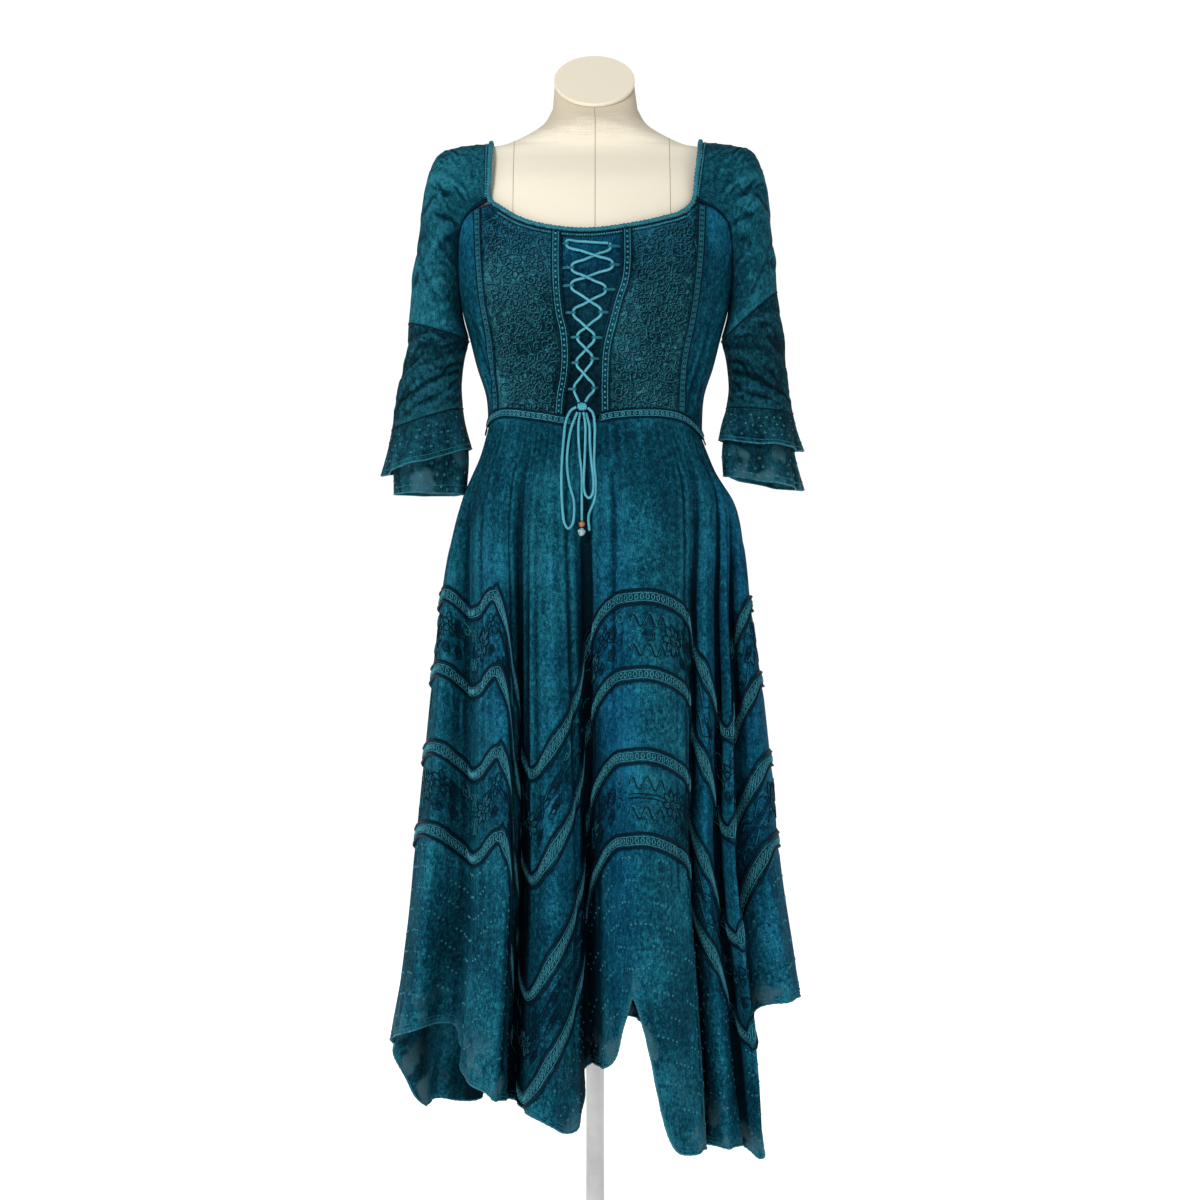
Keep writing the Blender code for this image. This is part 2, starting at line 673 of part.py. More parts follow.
def build_skirt():
    """Five tiers, each a front and a back, and the four ladder trims that cover the seams between them."""
    front = len(FRONT_FOLDS)
    halves = {"front": (0, front), "back": (front, len(FOLDS))}
    side_gap = 0.004
    for index, name in enumerate(TIER_NAMES):
        for half, (first, last) in halves.items():
            middle = TIER_MIDDLE_ROWS[index]
            marks = ["top"]
            if index > 0:
                marks.append("under_top")
            marks += [i / middle for i in range(1, middle)]
            if index < len(TRIM_LEVELS):
                marks.append("over_bottom")
            marks.append("bottom")

            def point(across, stop, out, index=index, first=first, last=last, marks=marks):
                place = first + side_gap + across * (last - first - 2 * side_gap)
                top, under_top, over_bottom, bottom = tier_edges(index, place)
                start = top if under_top is None else under_top
                end = bottom if over_bottom is None else over_bottom
                mark = marks[round(stop * (len(marks) - 1))]
                named = {"top": top, "under_top": start, "over_bottom": end, "bottom": bottom}
                z = named[mark] if mark in named else start + (end - start) * mark
                return skirt_point(place, z, out)

            columns = COLUMNS_PER_FOLD_ROW * (last - first)
            cloth(f"skirt_{name}_{half}", point, columns, evenly(len(marks) - 1))

    for level in TRIM_LEVELS:

        def band(across, down, out, level=level):
            place = across * len(FOLDS)
            z = trim_z(level, place) + (1 - 2 * down) * trim_reach(level, place)
            return skirt_point(place, z, out)

        cloth(
            f"skirt_trim_{level.name}",
            band,
            COLUMNS_PER_FOLD_ROW * len(FOLDS),
            evenly(2),
            finish="trim_teal",
            wall=SKIRT_TRIM_WALL,
            inner=CLOTH + SKIRT_TRIM_LIFT,
            ring=True,
        )


def panel_between(left_line, right_line, top_of, inset=SEAM_GAP / 2):
    """A bodice panel between two lines of x, from the waist up to an edge whose height depends on x."""
    left_x = columns_of(left_line, "z")["x"]
    right_x = columns_of(right_line, "z")["x"]

    def point(across, up, out):
        z = WAIST_Z
        for _ in range(4):
            x = (left_x(z) + inset) * (1 - across) + (right_x(z) - inset) * across
            top = top_of(x)
            bottom = waist_z(turn_at(x, WAIST_Z)) + WAIST_GAP / 2
            z = bottom + (top - bottom) * up
        return on_front(x, z, out)

    return point


SIDE_SEAM_DEG = 88
RAGLAN_GAP = 0.0014
PRINCESS_GAP = 0.0010
FRONT_ROWS = 10
NECK_EDGE = 0.0032


def neck_edge(x):
    """The cut edge of the front panels: the same distance under the binding however steep the neckline is."""
    slope = (neck_at(x + 0.002) - neck_at(x - 0.002)) / 0.004
    return neck_at(x) - NECK_EDGE * math.sqrt(1 + slope * slope)


SidePanelTop = namedtuple("SidePanelTop", "degrees z")
SIDE_PANEL_TOP = [
    SidePanelTop(44, 1.3080),
    SidePanelTop(54, 1.3035),
    SidePanelTop(62, 1.2970),
    SidePanelTop(73, 1.2750),
    SidePanelTop(79, 1.2300),
    SidePanelTop(84, 1.1790),
    SidePanelTop(90, 1.1400),
    SidePanelTop(96, 1.1790),
    SidePanelTop(101, 1.2300),
    SidePanelTop(107, 1.2750),
    SidePanelTop(118, 1.2970),
    SidePanelTop(131, 1.3055),
    SidePanelTop(139, 1.3020),
    SidePanelTop(158, 1.2880),
    SidePanelTop(180, BACK_NECK_MIDDLE_Z),
]
side_top_at = columns_of(SIDE_PANEL_TOP, "degrees")["z"]


def front_top(x):
    """The top edge in front: under the neckline, and under the raglan seam farther out."""
    raglan = side_top_at(math.degrees(abs(turn_at(x, 1.29)))) - RAGLAN_GAP
    return min(neck_edge(x), raglan)


def build_bodice():
    """Front panels, laced opening with its inset, side panels and a plain back."""
    front_left = panel_between(PRINCESS_LEFT, LACING_LEFT, front_top)
    front_right = panel_between(LACING_RIGHT, PRINCESS_RIGHT, front_top)
    cloth("bodice_front_left", front_left, 5, evenly(FRONT_ROWS))
    cloth("bodice_front_right", front_right, 5, evenly(FRONT_ROWS))

    overlap = 0.011
    inset_left = [Line(row.z, row.x - overlap) for row in LACING_LEFT]
    inset_right = [Line(row.z, row.x + overlap) for row in LACING_RIGHT]
    inset = panel_between(inset_left, inset_right, neck_edge)
    cloth("bodice_inset", inset, 4, evenly(FRONT_ROWS), finish="rayon_dark", inner=-INSET_DEPTH)

    for side, sign, line in (("left", -1, PRINCESS_LEFT), ("right", 1, PRINCESS_RIGHT)):
        princess_x = columns_of(line, "z")["x"]
        seam = math.radians(SIDE_SEAM_DEG)

        def point(across, up, out, sign=sign, princess_x=princess_x, seam=seam):
            z = WAIST_Z
            for _ in range(5):
                start = abs(turn_at(princess_x(z), z)) + PRINCESS_GAP / body_at["half_width"](z)
                turn = start + (seam - 0.001 - start) * across
                top = side_top_at(math.degrees(turn)) - RAGLAN_GAP
                bottom = waist_z(sign * turn) + WAIST_GAP / 2
                z = bottom + (top - bottom) * up
            return body_point(sign * turn, z, out)

        cloth(f"bodice_side_{side}", point, 6, evenly(FRONT_ROWS))

    def back(across, up, out):
        turn = math.radians(SIDE_SEAM_DEG) + 0.001
        turn += (2 * math.pi - 2 * turn) * across
        degrees = math.degrees(turn)
        top = side_top_at(min(degrees, 360 - degrees)) - RAGLAN_GAP
        bottom = waist_z(turn) + WAIST_GAP / 2
        z = bottom + (top - bottom) * up
        return body_point(turn, z, out)

    cloth("bodice_back", back, 16, evenly(4))


def trim_along(name, line, top_of, side, finish="trim_teal"):
    """A trim that covers a seam or follows an edge. side is -1, 0 or 1: left of the line, over it, right of it."""
    line_x = columns_of(line, "z")["x"]

    def point(across, up, out):
        shift = side * (BODICE_TRIM_WIDTH / 2 + 0.0004) + (across - 0.5) * BODICE_TRIM_WIDTH
        z = WAIST_Z
        for _ in range(5):
            turn = turn_at(line_x(z), z)
            half_width, depth = body_at["half_width"](z), body_at["front"](z)
            turn += shift / math.hypot(half_width * math.cos(turn), depth * math.sin(turn))
            low = waist_z(turn) + BODICE_TRIM_WIDTH / 2 + 0.0008
            z = low + (top_of(half_width * math.sin(turn)) - 0.001 - low) * up
        return body_point(turn, z, out)

    return cloth(
        name, point, 2, evenly(FRONT_ROWS), finish=finish, wall=BODICE_TRIM_WALL, inner=CLOTH + BODICE_TRIM_LIFT
    )


def build_bodice_trims():
    trim_along("princess_trim_left", PRINCESS_LEFT, front_top, 0)
    trim_along("princess_trim_right", PRINCESS_RIGHT, front_top, 0)
    trim_along("lacing_trim_left", LACING_LEFT, neck_edge, -1)
    trim_along("lacing_trim_right", LACING_RIGHT, neck_edge, 1)


def sleeve_point(rows, waves=0, wave_height=0.0):
    """A point of a sleeve: around runs from the front seam over the outside to the back seam, along from the top down."""
    keys = list(range(len(rows)))
    curves = {name: through(keys, [getattr(row, name) for row in rows]) for name in rows[0]._fields}

    def line(around, along):
        key = along * (len(rows) - 1)
        row = Sleeve(*(curves[name](key) for name in Sleeve._fields))
        seam = Vector((row.seam_x, 0.0, row.seam_z))
        reach = Vector((row.outer_x, 0.0, row.outer_z)) - seam
        open_rise = math.sin(math.pi * around)
        closed_rise = (1 - math.cos(2 * math.pi * around)) / 2
        rise = open_rise * (1 - row.closed) + closed_rise * row.closed
        y = -row.seam_y * math.cos(math.pi * around) - row.depth * math.sin(2 * math.pi * around)
        return seam + reach * rise + Vector((0.0, y, 0.0))

    def point(around, along, out):
        edge = 0.0015
        around = min(max(around, edge), 1 - edge)
        here = line(around, along)
        side = line(around + edge, along) - line(around - edge, along)
        low, high = max(along - NUDGE, 0.0), min(along + NUDGE, 1.0)
        down = line(around, high) - line(around, low)
        away = side.cross(down).normalized()
        if rows[0].outer_x > 0:
            away = -away
        wave = wave_height * along * math.sin(2 * math.pi * waves * around)
        return here + away * (out + wave)

    return point


def build_sleeves():
    parts = (
        ("sleeve_upper", SLEEVE_LEFT, SLEEVE_RIGHT, 12, 7, 0),
        ("sleeve_lower", LOWER_LEFT, LOWER_RIGHT, 12, 3, 0),
        ("flounce_outer", FLOUNCE_OUTER_LEFT, FLOUNCE_OUTER_RIGHT, 18, 2, FLOUNCE_WAVES),
        ("flounce_inner", FLOUNCE_INNER_LEFT, FLOUNCE_INNER_RIGHT, 18, 2, FLOUNCE_WAVES),
    )
    for name, left, right, columns, rows, waves in parts:
        for side, table in (("left", left), ("right", right)):
            point = sleeve_point(table, waves, FLOUNCE_WAVE_HEIGHT)
            cloth(f"{name}_{side}", point, columns, evenly(rows))


def tube(name, points, radius, finish, cyclic=False):
    """A round cord through the points, with flat ends where it is open."""
    curve = bpy.data.curves.new(name, "CURVE")
    curve.dimensions = "3D"
    curve.bevel_depth = radius
    curve.bevel_resolution = 1
    curve.use_fill_caps = not cyclic
    curve.materials.append(materials[finish])
    spline = curve.splines.new("POLY")
    spline.points.add(len(points) - 1)
    for spline_point, point in zip(spline.points, points):
        spline_point.co = (*point, 1.0)
    spline.use_cyclic_u = cyclic
    obj = bpy.data.objects.new(name, curve)
    dress.objects.link(obj)
    return obj


def build_binding():
    """One rolled binding round the front neckline, over both straps and along the back neck."""
    strap_from, strap_to, strap_points = 0.12, 0.88, 6
    points = []
    inside = BINDING_RADIUS + 2 * SEAM_GAP
    left, right = SLEEVE_LEFT[0].seam_x + inside, SLEEVE_RIGHT[0].seam_x - inside
    count = 16
    for i in range(count):
        x = left + (right - left) * i / (count - 1)
        points.append(on_front(x, neck_at(x), CLOTH / 2))
    for table, rising in ((SLEEVE_RIGHT, True), (SLEEVE_LEFT, False)):
        edge = sleeve_point(table)
        strap = []
        for i in range(strap_points):
            around = strap_from + (strap_to - strap_from) * i / (strap_points - 1)
            inward = Vector((-math.copysign(inside, table[0].outer_x), 0.0, 0.0))
            strap.append(edge(around, 0.0, CLOTH / 2 + BINDING_LIFT) + inward)
        points += strap if rising else []
        if rising:
            for degrees in range(BACK_NECK_DEG, 361 - BACK_NECK_DEG, 18):
                z = side_top_at(min(degrees, 360 - degrees)) + NECK_EDGE - RAGLAN_GAP
                points.append(body_point(math.radians(degrees), z, CLOTH / 2))
        else:
            points += reversed(strap)
    tube("neck_binding", points, BINDING_RADIUS, "trim_teal", cyclic=True)


def build_waist_trims():
    """The trim over the waist seam, from each side seam to the lacing."""
    ends = {
        "left": (-SIDE_SEAM_DEG, -WAIST_TRIM_GAP_DEG[0]),
        "right": (WAIST_TRIM_GAP_DEG[1], SIDE_SEAM_DEG),
    }
    for side, degrees in ends.items():
        first, last = math.radians(degrees[0]), math.radians(degrees[1])

        def point(across, down, out, first=first, last=last):
            turn = first + (last - first) * across
            z = waist_z(turn) + (0.5 - down) * BODICE_TRIM_WIDTH
            if z >= waist_z(turn):
                return body_point(turn, z, out)
            return skirt_point(place_of(turn), z, out)

        cloth(
            f"waist_trim_{side}",
            point,
            8,
            evenly(3),
            finish="trim_teal",
            wall=BODICE_TRIM_WALL,
            inner=CLOTH + BODICE_TRIM_LIFT,
        )


def place_of(turn):
    """The place of the fold table at which the waist has this turn."""
    low, high = -3.0, len(FOLDS) + 0.0
    for _ in range(40):
        middle = (low + high) / 2
        if fold_at["turn"](middle) < turn:
            low = middle
        else:
            high = middle
    return low


def loop_path(sign, edge_x, tip_x, z):
    """The band of one lacing loop, seen from above, from the tape round the cord and back to the tape."""
    reach = (tip_x - edge_x) * sign
    steps = (
        (-0.0035, -0.0016),
        (0.0008, -0.0015),
        (reach - 0.0020, -0.0008),
        (reach + 0.0012, -0.0004),
        (reach + 0.0024, 0.0018),
        (reach + 0.0012, 0.0041),
        (reach - 0.0014, 0.0043),
        (0.0016, 0.0006),
        (0.0011, -0.0004),
    )
    return [on_front(edge_x + sign * along, z, out) for along, out in steps]


def build_loop_tapes():
    """A tape behind each lacing edge with its seven loops, each of which holds the cord."""
    for side, sign, line in (("left", 1, LACING_LEFT), ("right", -1, LACING_RIGHT)):
        edge_x = columns_of(line, "z")["x"]

        def point(across, down, out, sign=sign, edge_x=edge_x):
            z = WAIST_Z
            for _ in range(4):
                x = edge_x(z) - sign * (TAPE_WIDTH * (1 - across) - 0.0010)
                row = FRONT_ROWS - down * (FRONT_ROWS - 1)
                z = WAIST_Z + (neck_edge(x) - WAIST_Z) * row / FRONT_ROWS
            return on_front(x, z, out)

        tape = cloth(
            f"loop_tape_{side}",
            point,
            1,
            evenly(FRONT_ROWS - 1),
            finish="rayon_dark",
            wall=TAPE_WALL,
            inner=-TAPE_DEPTH,
        )
        for row, tip in enumerate(LOOP_TIPS):
            tip_x, tip_z = getattr(tip, f"{side}_x"), getattr(tip, f"{side}_z")
            loop = band_along(
                f"loop_{side}_{row}",
                loop_path(sign, edge_x(tip_z), tip_x, tip_z),
                LOOP_WALL,
                LOOP_HEIGHT,
            )
            union = tape.modifiers.new(f"loop {row}", "BOOLEAN")
            union.operation = "UNION"
            union.solver = "EXACT"
            union.object = loop


def band_along(name, path, wall, height):
    """A flat band that stands on edge along a level path, as a hidden helper."""
    bm = bmesh.new()
    rings = []
    for i, here in enumerate(path):
        ahead = path[min(i + 1, len(path) - 1)] - path[max(i - 1, 0)]
        ahead.z = 0.0
        side = Vector((-ahead.y, ahead.x, 0.0)).normalized() * wall / 2
        up = Vector((0.0, 0.0, height / 2))
        corners = (here + side - up, here + side + up, here - side + up, here - side - up)
        rings.append([bm.verts.new(corner) for corner in corners])
    for a, b in zip(rings, rings[1:]):
        for i in range(4):
            bm.faces.new((a[i], a[(i + 1) % 4], b[(i + 1) % 4], b[i]))
    bm.faces.new(rings[0])
    bm.faces.new(rings[-1])
    bmesh.ops.recalc_face_normals(bm, faces=bm.faces)
    band = add_mesh(name, bm, "rayon_dark", helpers)
    band.hide_render = True
    band.display_type = "WIRE"
    return band


def lace_route(start_side):
    """The cord's middle line from the top loop down to the knot, over and under the other half by turns."""
    sides = ("left", "right")
    side = sides.index(start_side)
    over = start_side == "left"

    def beside(row, name, rise):
        tip = LOOP_TIPS[row]
        return on_front(getattr(tip, f"{name}_x"), getattr(tip, f"{name}_z") + rise, LACE_SEAT)

    route = []
    if start_side == "left":
        start, end = beside(0, "right", LOOP_PASS), beside(0, "left", LOOP_PASS)
        for share in (0.05, 0.24, 0.5, 0.76):
            middle = start + (end - start) * share
            route.append(on_front(middle.x, middle.z, LACE_UNDER if share > 0.1 else LACE_SEAT))
    for row in range(len(LOOP_TIPS)):
        here, there = sides[side], sides[1 - side]
        start = beside(row, here, -LOOP_PASS)
        route += [beside(row, here, LOOP_PASS), start]
        if row == len(LOOP_TIPS) - 1:
            break
        end = beside(row + 1, there, LOOP_PASS)
        for share in (0.34, 0.66):
            middle = start + (end - start) * share
            route.append(on_front(middle.x, middle.z, LACE_OVER if over else LACE_UNDER))
        side = 1 - side
        over = not over
    return route


def build_lacing():
    """The laced cord, the knot that ties its two halves, the bow's loops and its loose ends."""
    radius = LACE_DIAMETER / 2
    for name, start, end in (("lace_a", "left", KNOT_FROM_LEFT), ("lace_b", "right", KNOT_FROM_RIGHT)):
        tube(name, lace_route(start) + end, radius, "lace_teal")
    for name, points in (
        ("bow_loop_left", BOW_LOOP_LEFT),
        ("bow_loop_right", BOW_LOOP_RIGHT),
        ("lace_end_left", LACE_END_LEFT),
        ("lace_end_right", LACE_END_RIGHT),
    ):
        tube(name, points, radius, "lace_teal")
    for name, middle, size, finish in (
        ("lace_knot", KNOT, KNOT_SIZE, "lace_teal"),
        ("bead_amber", BEAD_AMBER, BEAD_AMBER_SIZE, "amber"),
        ("bead_turquoise", BEAD_TURQUOISE, BEAD_TURQUOISE_SIZE, "turquoise"),
    ):
        bm = bmesh.new()
        bmesh.ops.create_uvsphere(bm, u_segments=8, v_segments=6, radius=1.0)
        bmesh.ops.scale(bm, vec=size, verts=bm.verts)
        bmesh.ops.translate(bm, vec=middle, verts=bm.verts)
        add_mesh(name, bm, finish)


def main_build():
    build_form()
    build_skirt()
    build_bodice()
    build_bodice_trims()
    build_waist_trims()
    build_sleeves()
    build_binding()
    build_loop_tapes()
    build_lacing()


clear_scene()
dress = make_collection("victorian_corset_dress")
helpers = make_collection("helpers")
materials = {name: make_material(name) for name in FINISHES}
main_build()
print("objects:", len(dress.objects))
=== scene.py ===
# %% [markdown]
# # A laced teal dress on a dress form
#
# The real thing is a long rayon dress, washed until its teal dye has gone cloudy. It hangs on
# a linen dress form, so the cloth decides its shape: deep folds in the skirt, smooth panels
# over the chest, and loose sleeves that end in flounces.
#
# The solids of the frame already hold every panel. Here each panel is made again as a fine,
# thin sheet from the same cutting table, because folds and creases need many more points than
# a solid for a shop floor has.

# %% Load the frame
import math
import random
from collections import namedtuple

import bmesh
import bpy
import numpy as np
from mathutils import Matrix, Vector


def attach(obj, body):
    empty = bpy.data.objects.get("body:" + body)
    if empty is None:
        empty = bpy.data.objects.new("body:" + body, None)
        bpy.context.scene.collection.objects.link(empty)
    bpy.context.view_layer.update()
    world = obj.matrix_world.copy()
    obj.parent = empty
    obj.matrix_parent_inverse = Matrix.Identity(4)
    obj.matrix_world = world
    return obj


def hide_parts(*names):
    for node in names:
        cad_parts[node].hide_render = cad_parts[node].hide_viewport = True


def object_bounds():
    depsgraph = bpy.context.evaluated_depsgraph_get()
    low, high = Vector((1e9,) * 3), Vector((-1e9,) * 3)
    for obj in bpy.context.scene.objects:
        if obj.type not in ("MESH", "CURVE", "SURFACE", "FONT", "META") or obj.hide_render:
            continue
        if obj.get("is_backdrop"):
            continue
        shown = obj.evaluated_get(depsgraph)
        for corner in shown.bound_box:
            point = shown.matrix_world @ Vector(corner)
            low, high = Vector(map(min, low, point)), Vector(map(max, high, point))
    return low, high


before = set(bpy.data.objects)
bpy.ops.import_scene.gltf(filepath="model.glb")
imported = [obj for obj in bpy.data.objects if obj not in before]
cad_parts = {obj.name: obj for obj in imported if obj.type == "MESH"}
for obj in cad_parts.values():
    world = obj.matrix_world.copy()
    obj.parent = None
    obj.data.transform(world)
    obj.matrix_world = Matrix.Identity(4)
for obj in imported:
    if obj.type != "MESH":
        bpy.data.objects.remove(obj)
solid_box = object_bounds()
dress = bpy.data.collections.new("dress")
bpy.context.scene.collection.children.link(dress)
print("nodes in the frame:", len(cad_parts))

# %% [markdown]
# ## Camera, light and floor
#
# The dress was photographed from straight ahead at chest height with a long lens. A camera
# 3.5 m away with a narrow angle gives the same look: the folds near us are hardly larger than
# those behind. The room is white, with one broad soft lamp from the upper left and a weaker
# one from the right, so that folds read without hard shadows.

# %% Camera
CAMERA_PLACE = (0.006, -3.5, 0.82)
LENS_MM = 84.0

lens = bpy.data.cameras.new("camera")
lens.lens = LENS_MM
lens.sensor_width = 36.0
lens.clip_end = 60.0
camera = bpy.data.objects.new("camera", lens)
camera.location = CAMERA_PLACE
camera.rotation_euler = (math.radians(90), 0.0, 0.0)
bpy.context.scene.collection.objects.link(camera)
bpy.context.scene.camera = camera
bpy.context.scene.view_settings.view_transform = "Standard"
print("camera at", CAMERA_PLACE, "with a lens of", LENS_MM, "mm")

# %% Soft white room
ROOM_LIGHT = 0.36


def make_room():
    """A white world: bright where the camera looks at it, gentler as a light."""
    world = bpy.data.worlds.new("white room")
    world.use_nodes = True
    tree = world.node_tree
    soft = tree.nodes["Background"]
    soft.inputs["Color"].default_value = (1.0, 1.0, 1.0, 1.0)
    soft.inputs["Strength"].default_value = ROOM_LIGHT
    bright = tree.nodes.new("ShaderNodeBackground")
    bright.inputs["Color"].default_value = (1.0, 1.0, 1.0, 1.0)
    bright.inputs["Strength"].default_value = 1.05
    rays = tree.nodes.new("ShaderNodeLightPath")
    both = tree.nodes.new("ShaderNodeMixShader")
    tree.links.new(rays.outputs["Is Camera Ray"], both.inputs[0])
    tree.links.new(soft.outputs[0], both.inputs[1])
    tree.links.new(bright.outputs[0], both.inputs[2])
    tree.links.new(both.outputs[0], tree.nodes["World Output"].inputs["Surface"])
    bpy.context.scene.world = world


Lamp = namedtuple("Lamp", "name place target size energy")
LAMPS = [
    Lamp("key lamp", (-1.7, -2.9, 2.9), (0.0, 0.0, 0.85), 1.2, 84.0),
    Lamp("fill lamp", (2.6, -2.6, 1.6), (0.0, 0.0, 0.8), 2.0, 12.0),
    Lamp("back lamp", (0.8, 2.8, 2.4), (0.0, 0.0, 0.9), 1.8, 22.0),
]


def make_lamps():
    for lamp in LAMPS:
        light = bpy.data.lights.new(lamp.name, "AREA")
        light.shape = "DISK"
        light.size = lamp.size
        light.energy = lamp.energy
        holder = bpy.data.objects.new(lamp.name, light)
        holder.location = lamp.place
        aim = Vector(lamp.target) - Vector(lamp.place)
        holder.rotation_euler = aim.to_track_quat("-Z", "Y").to_euler()
        bpy.context.scene.collection.objects.link(holder)


make_room()
make_lamps()
print("lamps:", [lamp.name for lamp in LAMPS])

# %% [markdown]
# ## Writing materials as sums
#
# Cloth colour is a sum of many small causes: clouds of dye, the streaks of a crinkled weave,
# wear on an edge. Node graphs hide such sums, so two small classes let us write them as
# Python: a Signal is any socket that can be added, taken away or multiplied, and a Bench
# makes the nodes of one material.


# %% Signals and the bench
class Signal:
    """One output socket that can be used in sums like a number."""

    def __init__(self, bench, socket):
        self.bench, self.socket = bench, socket

    def sum_with(self, operation, *values):
        return self.bench.node("ShaderNodeMath", {"operation": operation}, dict(enumerate(values)))

    def __add__(self, other):
        return self.sum_with("ADD", self, other)

    def __sub__(self, other):
        return self.sum_with("SUBTRACT", self, other)

    def __rsub__(self, other):
        return self.sum_with("SUBTRACT", other, self)

    def __mul__(self, other):
        return self.sum_with("MULTIPLY", self, other)


class Bench:
    """Makes the nodes of one material. Constants go straight onto the shader's own sockets."""

    def __init__(self, name, **constants):
        self.material = bpy.data.materials.new(name)
        self.material.use_nodes = True
        self.tree = self.material.node_tree
        self.shader = self.tree.nodes["Principled BSDF"]
        for socket, value in constants.items():
            self.shader.inputs[socket.replace("_", " ")].default_value = value

    def node(self, kind, settings=None, sockets=None, output=0):
        made = self.tree.nodes.new(kind)
        for name, value in (settings or {}).items():
            if name == "stops":
                elements = made.color_ramp.elements
                while len(elements) < len(value):
                    elements.new(0.5)
                for element, (position, colour) in zip(elements, value):
                    element.position = position
                    element.color = (*colour, 1.0)
            else:
                setattr(made, name, value)
        for name, value in (sockets or {}).items():
            if isinstance(value, Signal):
                self.tree.links.new(value.socket, made.inputs[name])
            elif isinstance(value, tuple) and len(made.inputs[name].default_value) == 4:
                made.inputs[name].default_value = (*value, 1.0)
            else:
                made.inputs[name].default_value = value
        return Signal(self, made.outputs[output])

    def drive(self, socket, signal):
        self.tree.links.new(signal.socket, self.shader.inputs[socket])

    def place(self):
        return self.node("ShaderNodeTexCoord", output="Object")

    def flat(self, across=1.0, along=1.0):
        """The cloth's own flat coordinates in metres, stretched by the two numbers."""
        unrolled = self.node("ShaderNodeUVMap", {"uv_map": "cloth"})
        return self.stretch(unrolled, (across, along, 1.0))

    def stretch(self, vector, by):
        return self.node("ShaderNodeVectorMath", {"operation": "MULTIPLY"}, {0: vector, 1: by})

    def noise(self, vector, scale, detail=3.0, roughness=0.55, distortion=0.0):
        sockets = {"Vector": vector, "Scale": scale, "Detail": detail}
        sockets |= {"Roughness": roughness, "Distortion": distortion}
        return self.node("ShaderNodeTexNoise", None, sockets)

    def tangle(self, across, along, detail, roughness, distortion, turns, low, high):
        """Lines that wander like worms or vines: a noise folded on itself a few times."""
        wander = self.noise(self.flat(across, along), 1.0, detail, roughness, distortion)
        folded = self.node("ShaderNodeMath", {"operation": "PINGPONG"}, {0: wander * turns, 1: 0.5})
        return self.limit(folded, low, high)

    def limit(self, signal, low, high):
        """The signal stretched so that low becomes 0 and high becomes 1, and held between them."""
        sockets = {"Value": signal, "From Min": low, "From Max": high}
        return self.node("ShaderNodeMapRange", {"clamp": True}, sockets)

    def mix(self, share, first, second):
        sockets = {0: share, 6: first, 7: second}
        return self.node("ShaderNodeMix", {"data_type": "RGBA"}, sockets, output=2)

    def ramp(self, share, stops):
        return self.node("ShaderNodeValToRGB", {"stops": stops}, {"Fac": share})

    def attribute(self, name):
        return self.node("ShaderNodeAttribute", {"attribute_name": name}, output="Fac")

    def bump(self, height, strength, distance):
        sockets = {"Height": height, "Strength": strength, "Distance": distance}
        self.drive("Normal", self.node("ShaderNodeBump", None, sockets))


print("bench ready")

# %% [markdown]
# ## The washed teal cloth
#
# Stonewashed rayon is never one colour. Large clouds come from the dye bath, small patches
# from rubbing, and fine upright streaks from the crinkled weave. Shade is painted in too: the
# cloth is darkened deep in the folds and in small creases, and lightened on small ridges. All
# of these are added up to one tone, and a ramp turns the tone into dye. Marks written on each
# sheet say how deep in a fold and how far in a crease a point lies, and so how much painted
# shade it gets.

# %% Cloth finishes
# deep is the painted shade colour for folds and creases; dark, middle and light are the dye's own
# tones
Dye = namedtuple("Dye", "deep dark middle light")
SHADE, DARK_SHADE = (0.0003, 0.009, 0.016), (0.0002, 0.003, 0.006)
SKIRT_DYE = Dye(SHADE, (0.0004, 0.016, 0.03), (0.0018, 0.066, 0.107), (0.02, 0.215, 0.3))
BLUE_DYE = Dye(SHADE, (0.0004, 0.022, 0.05), (0.0012, 0.072, 0.148), (0.016, 0.205, 0.36))
BODICE_DYE = Dye(SHADE, (0.0004, 0.012, 0.022), (0.0064, 0.09, 0.126), (0.055, 0.29, 0.36))
SLEEVE_DYE = Dye(SHADE, (0.0004, 0.016, 0.028), (0.0026, 0.062, 0.094), (0.022, 0.195, 0.26))
DEEP_DYE = Dye(
    (0.0002, 0.002, 0.005), (0.0003, 0.008, 0.014), (0.0012, 0.028, 0.045), (0.012, 0.11, 0.15)
)
TRIM_DYE = Dye(DARK_SHADE, (0.0003, 0.009, 0.016), (0.0014, 0.032, 0.052), (0.01, 0.1, 0.14))
INSET_DYE = Dye(DARK_SHADE, (0.0003, 0.008, 0.014), (0.0015, 0.026, 0.044), (0.006, 0.07, 0.1))
THIN_TEAL = (0.06, 0.17, 0.215)


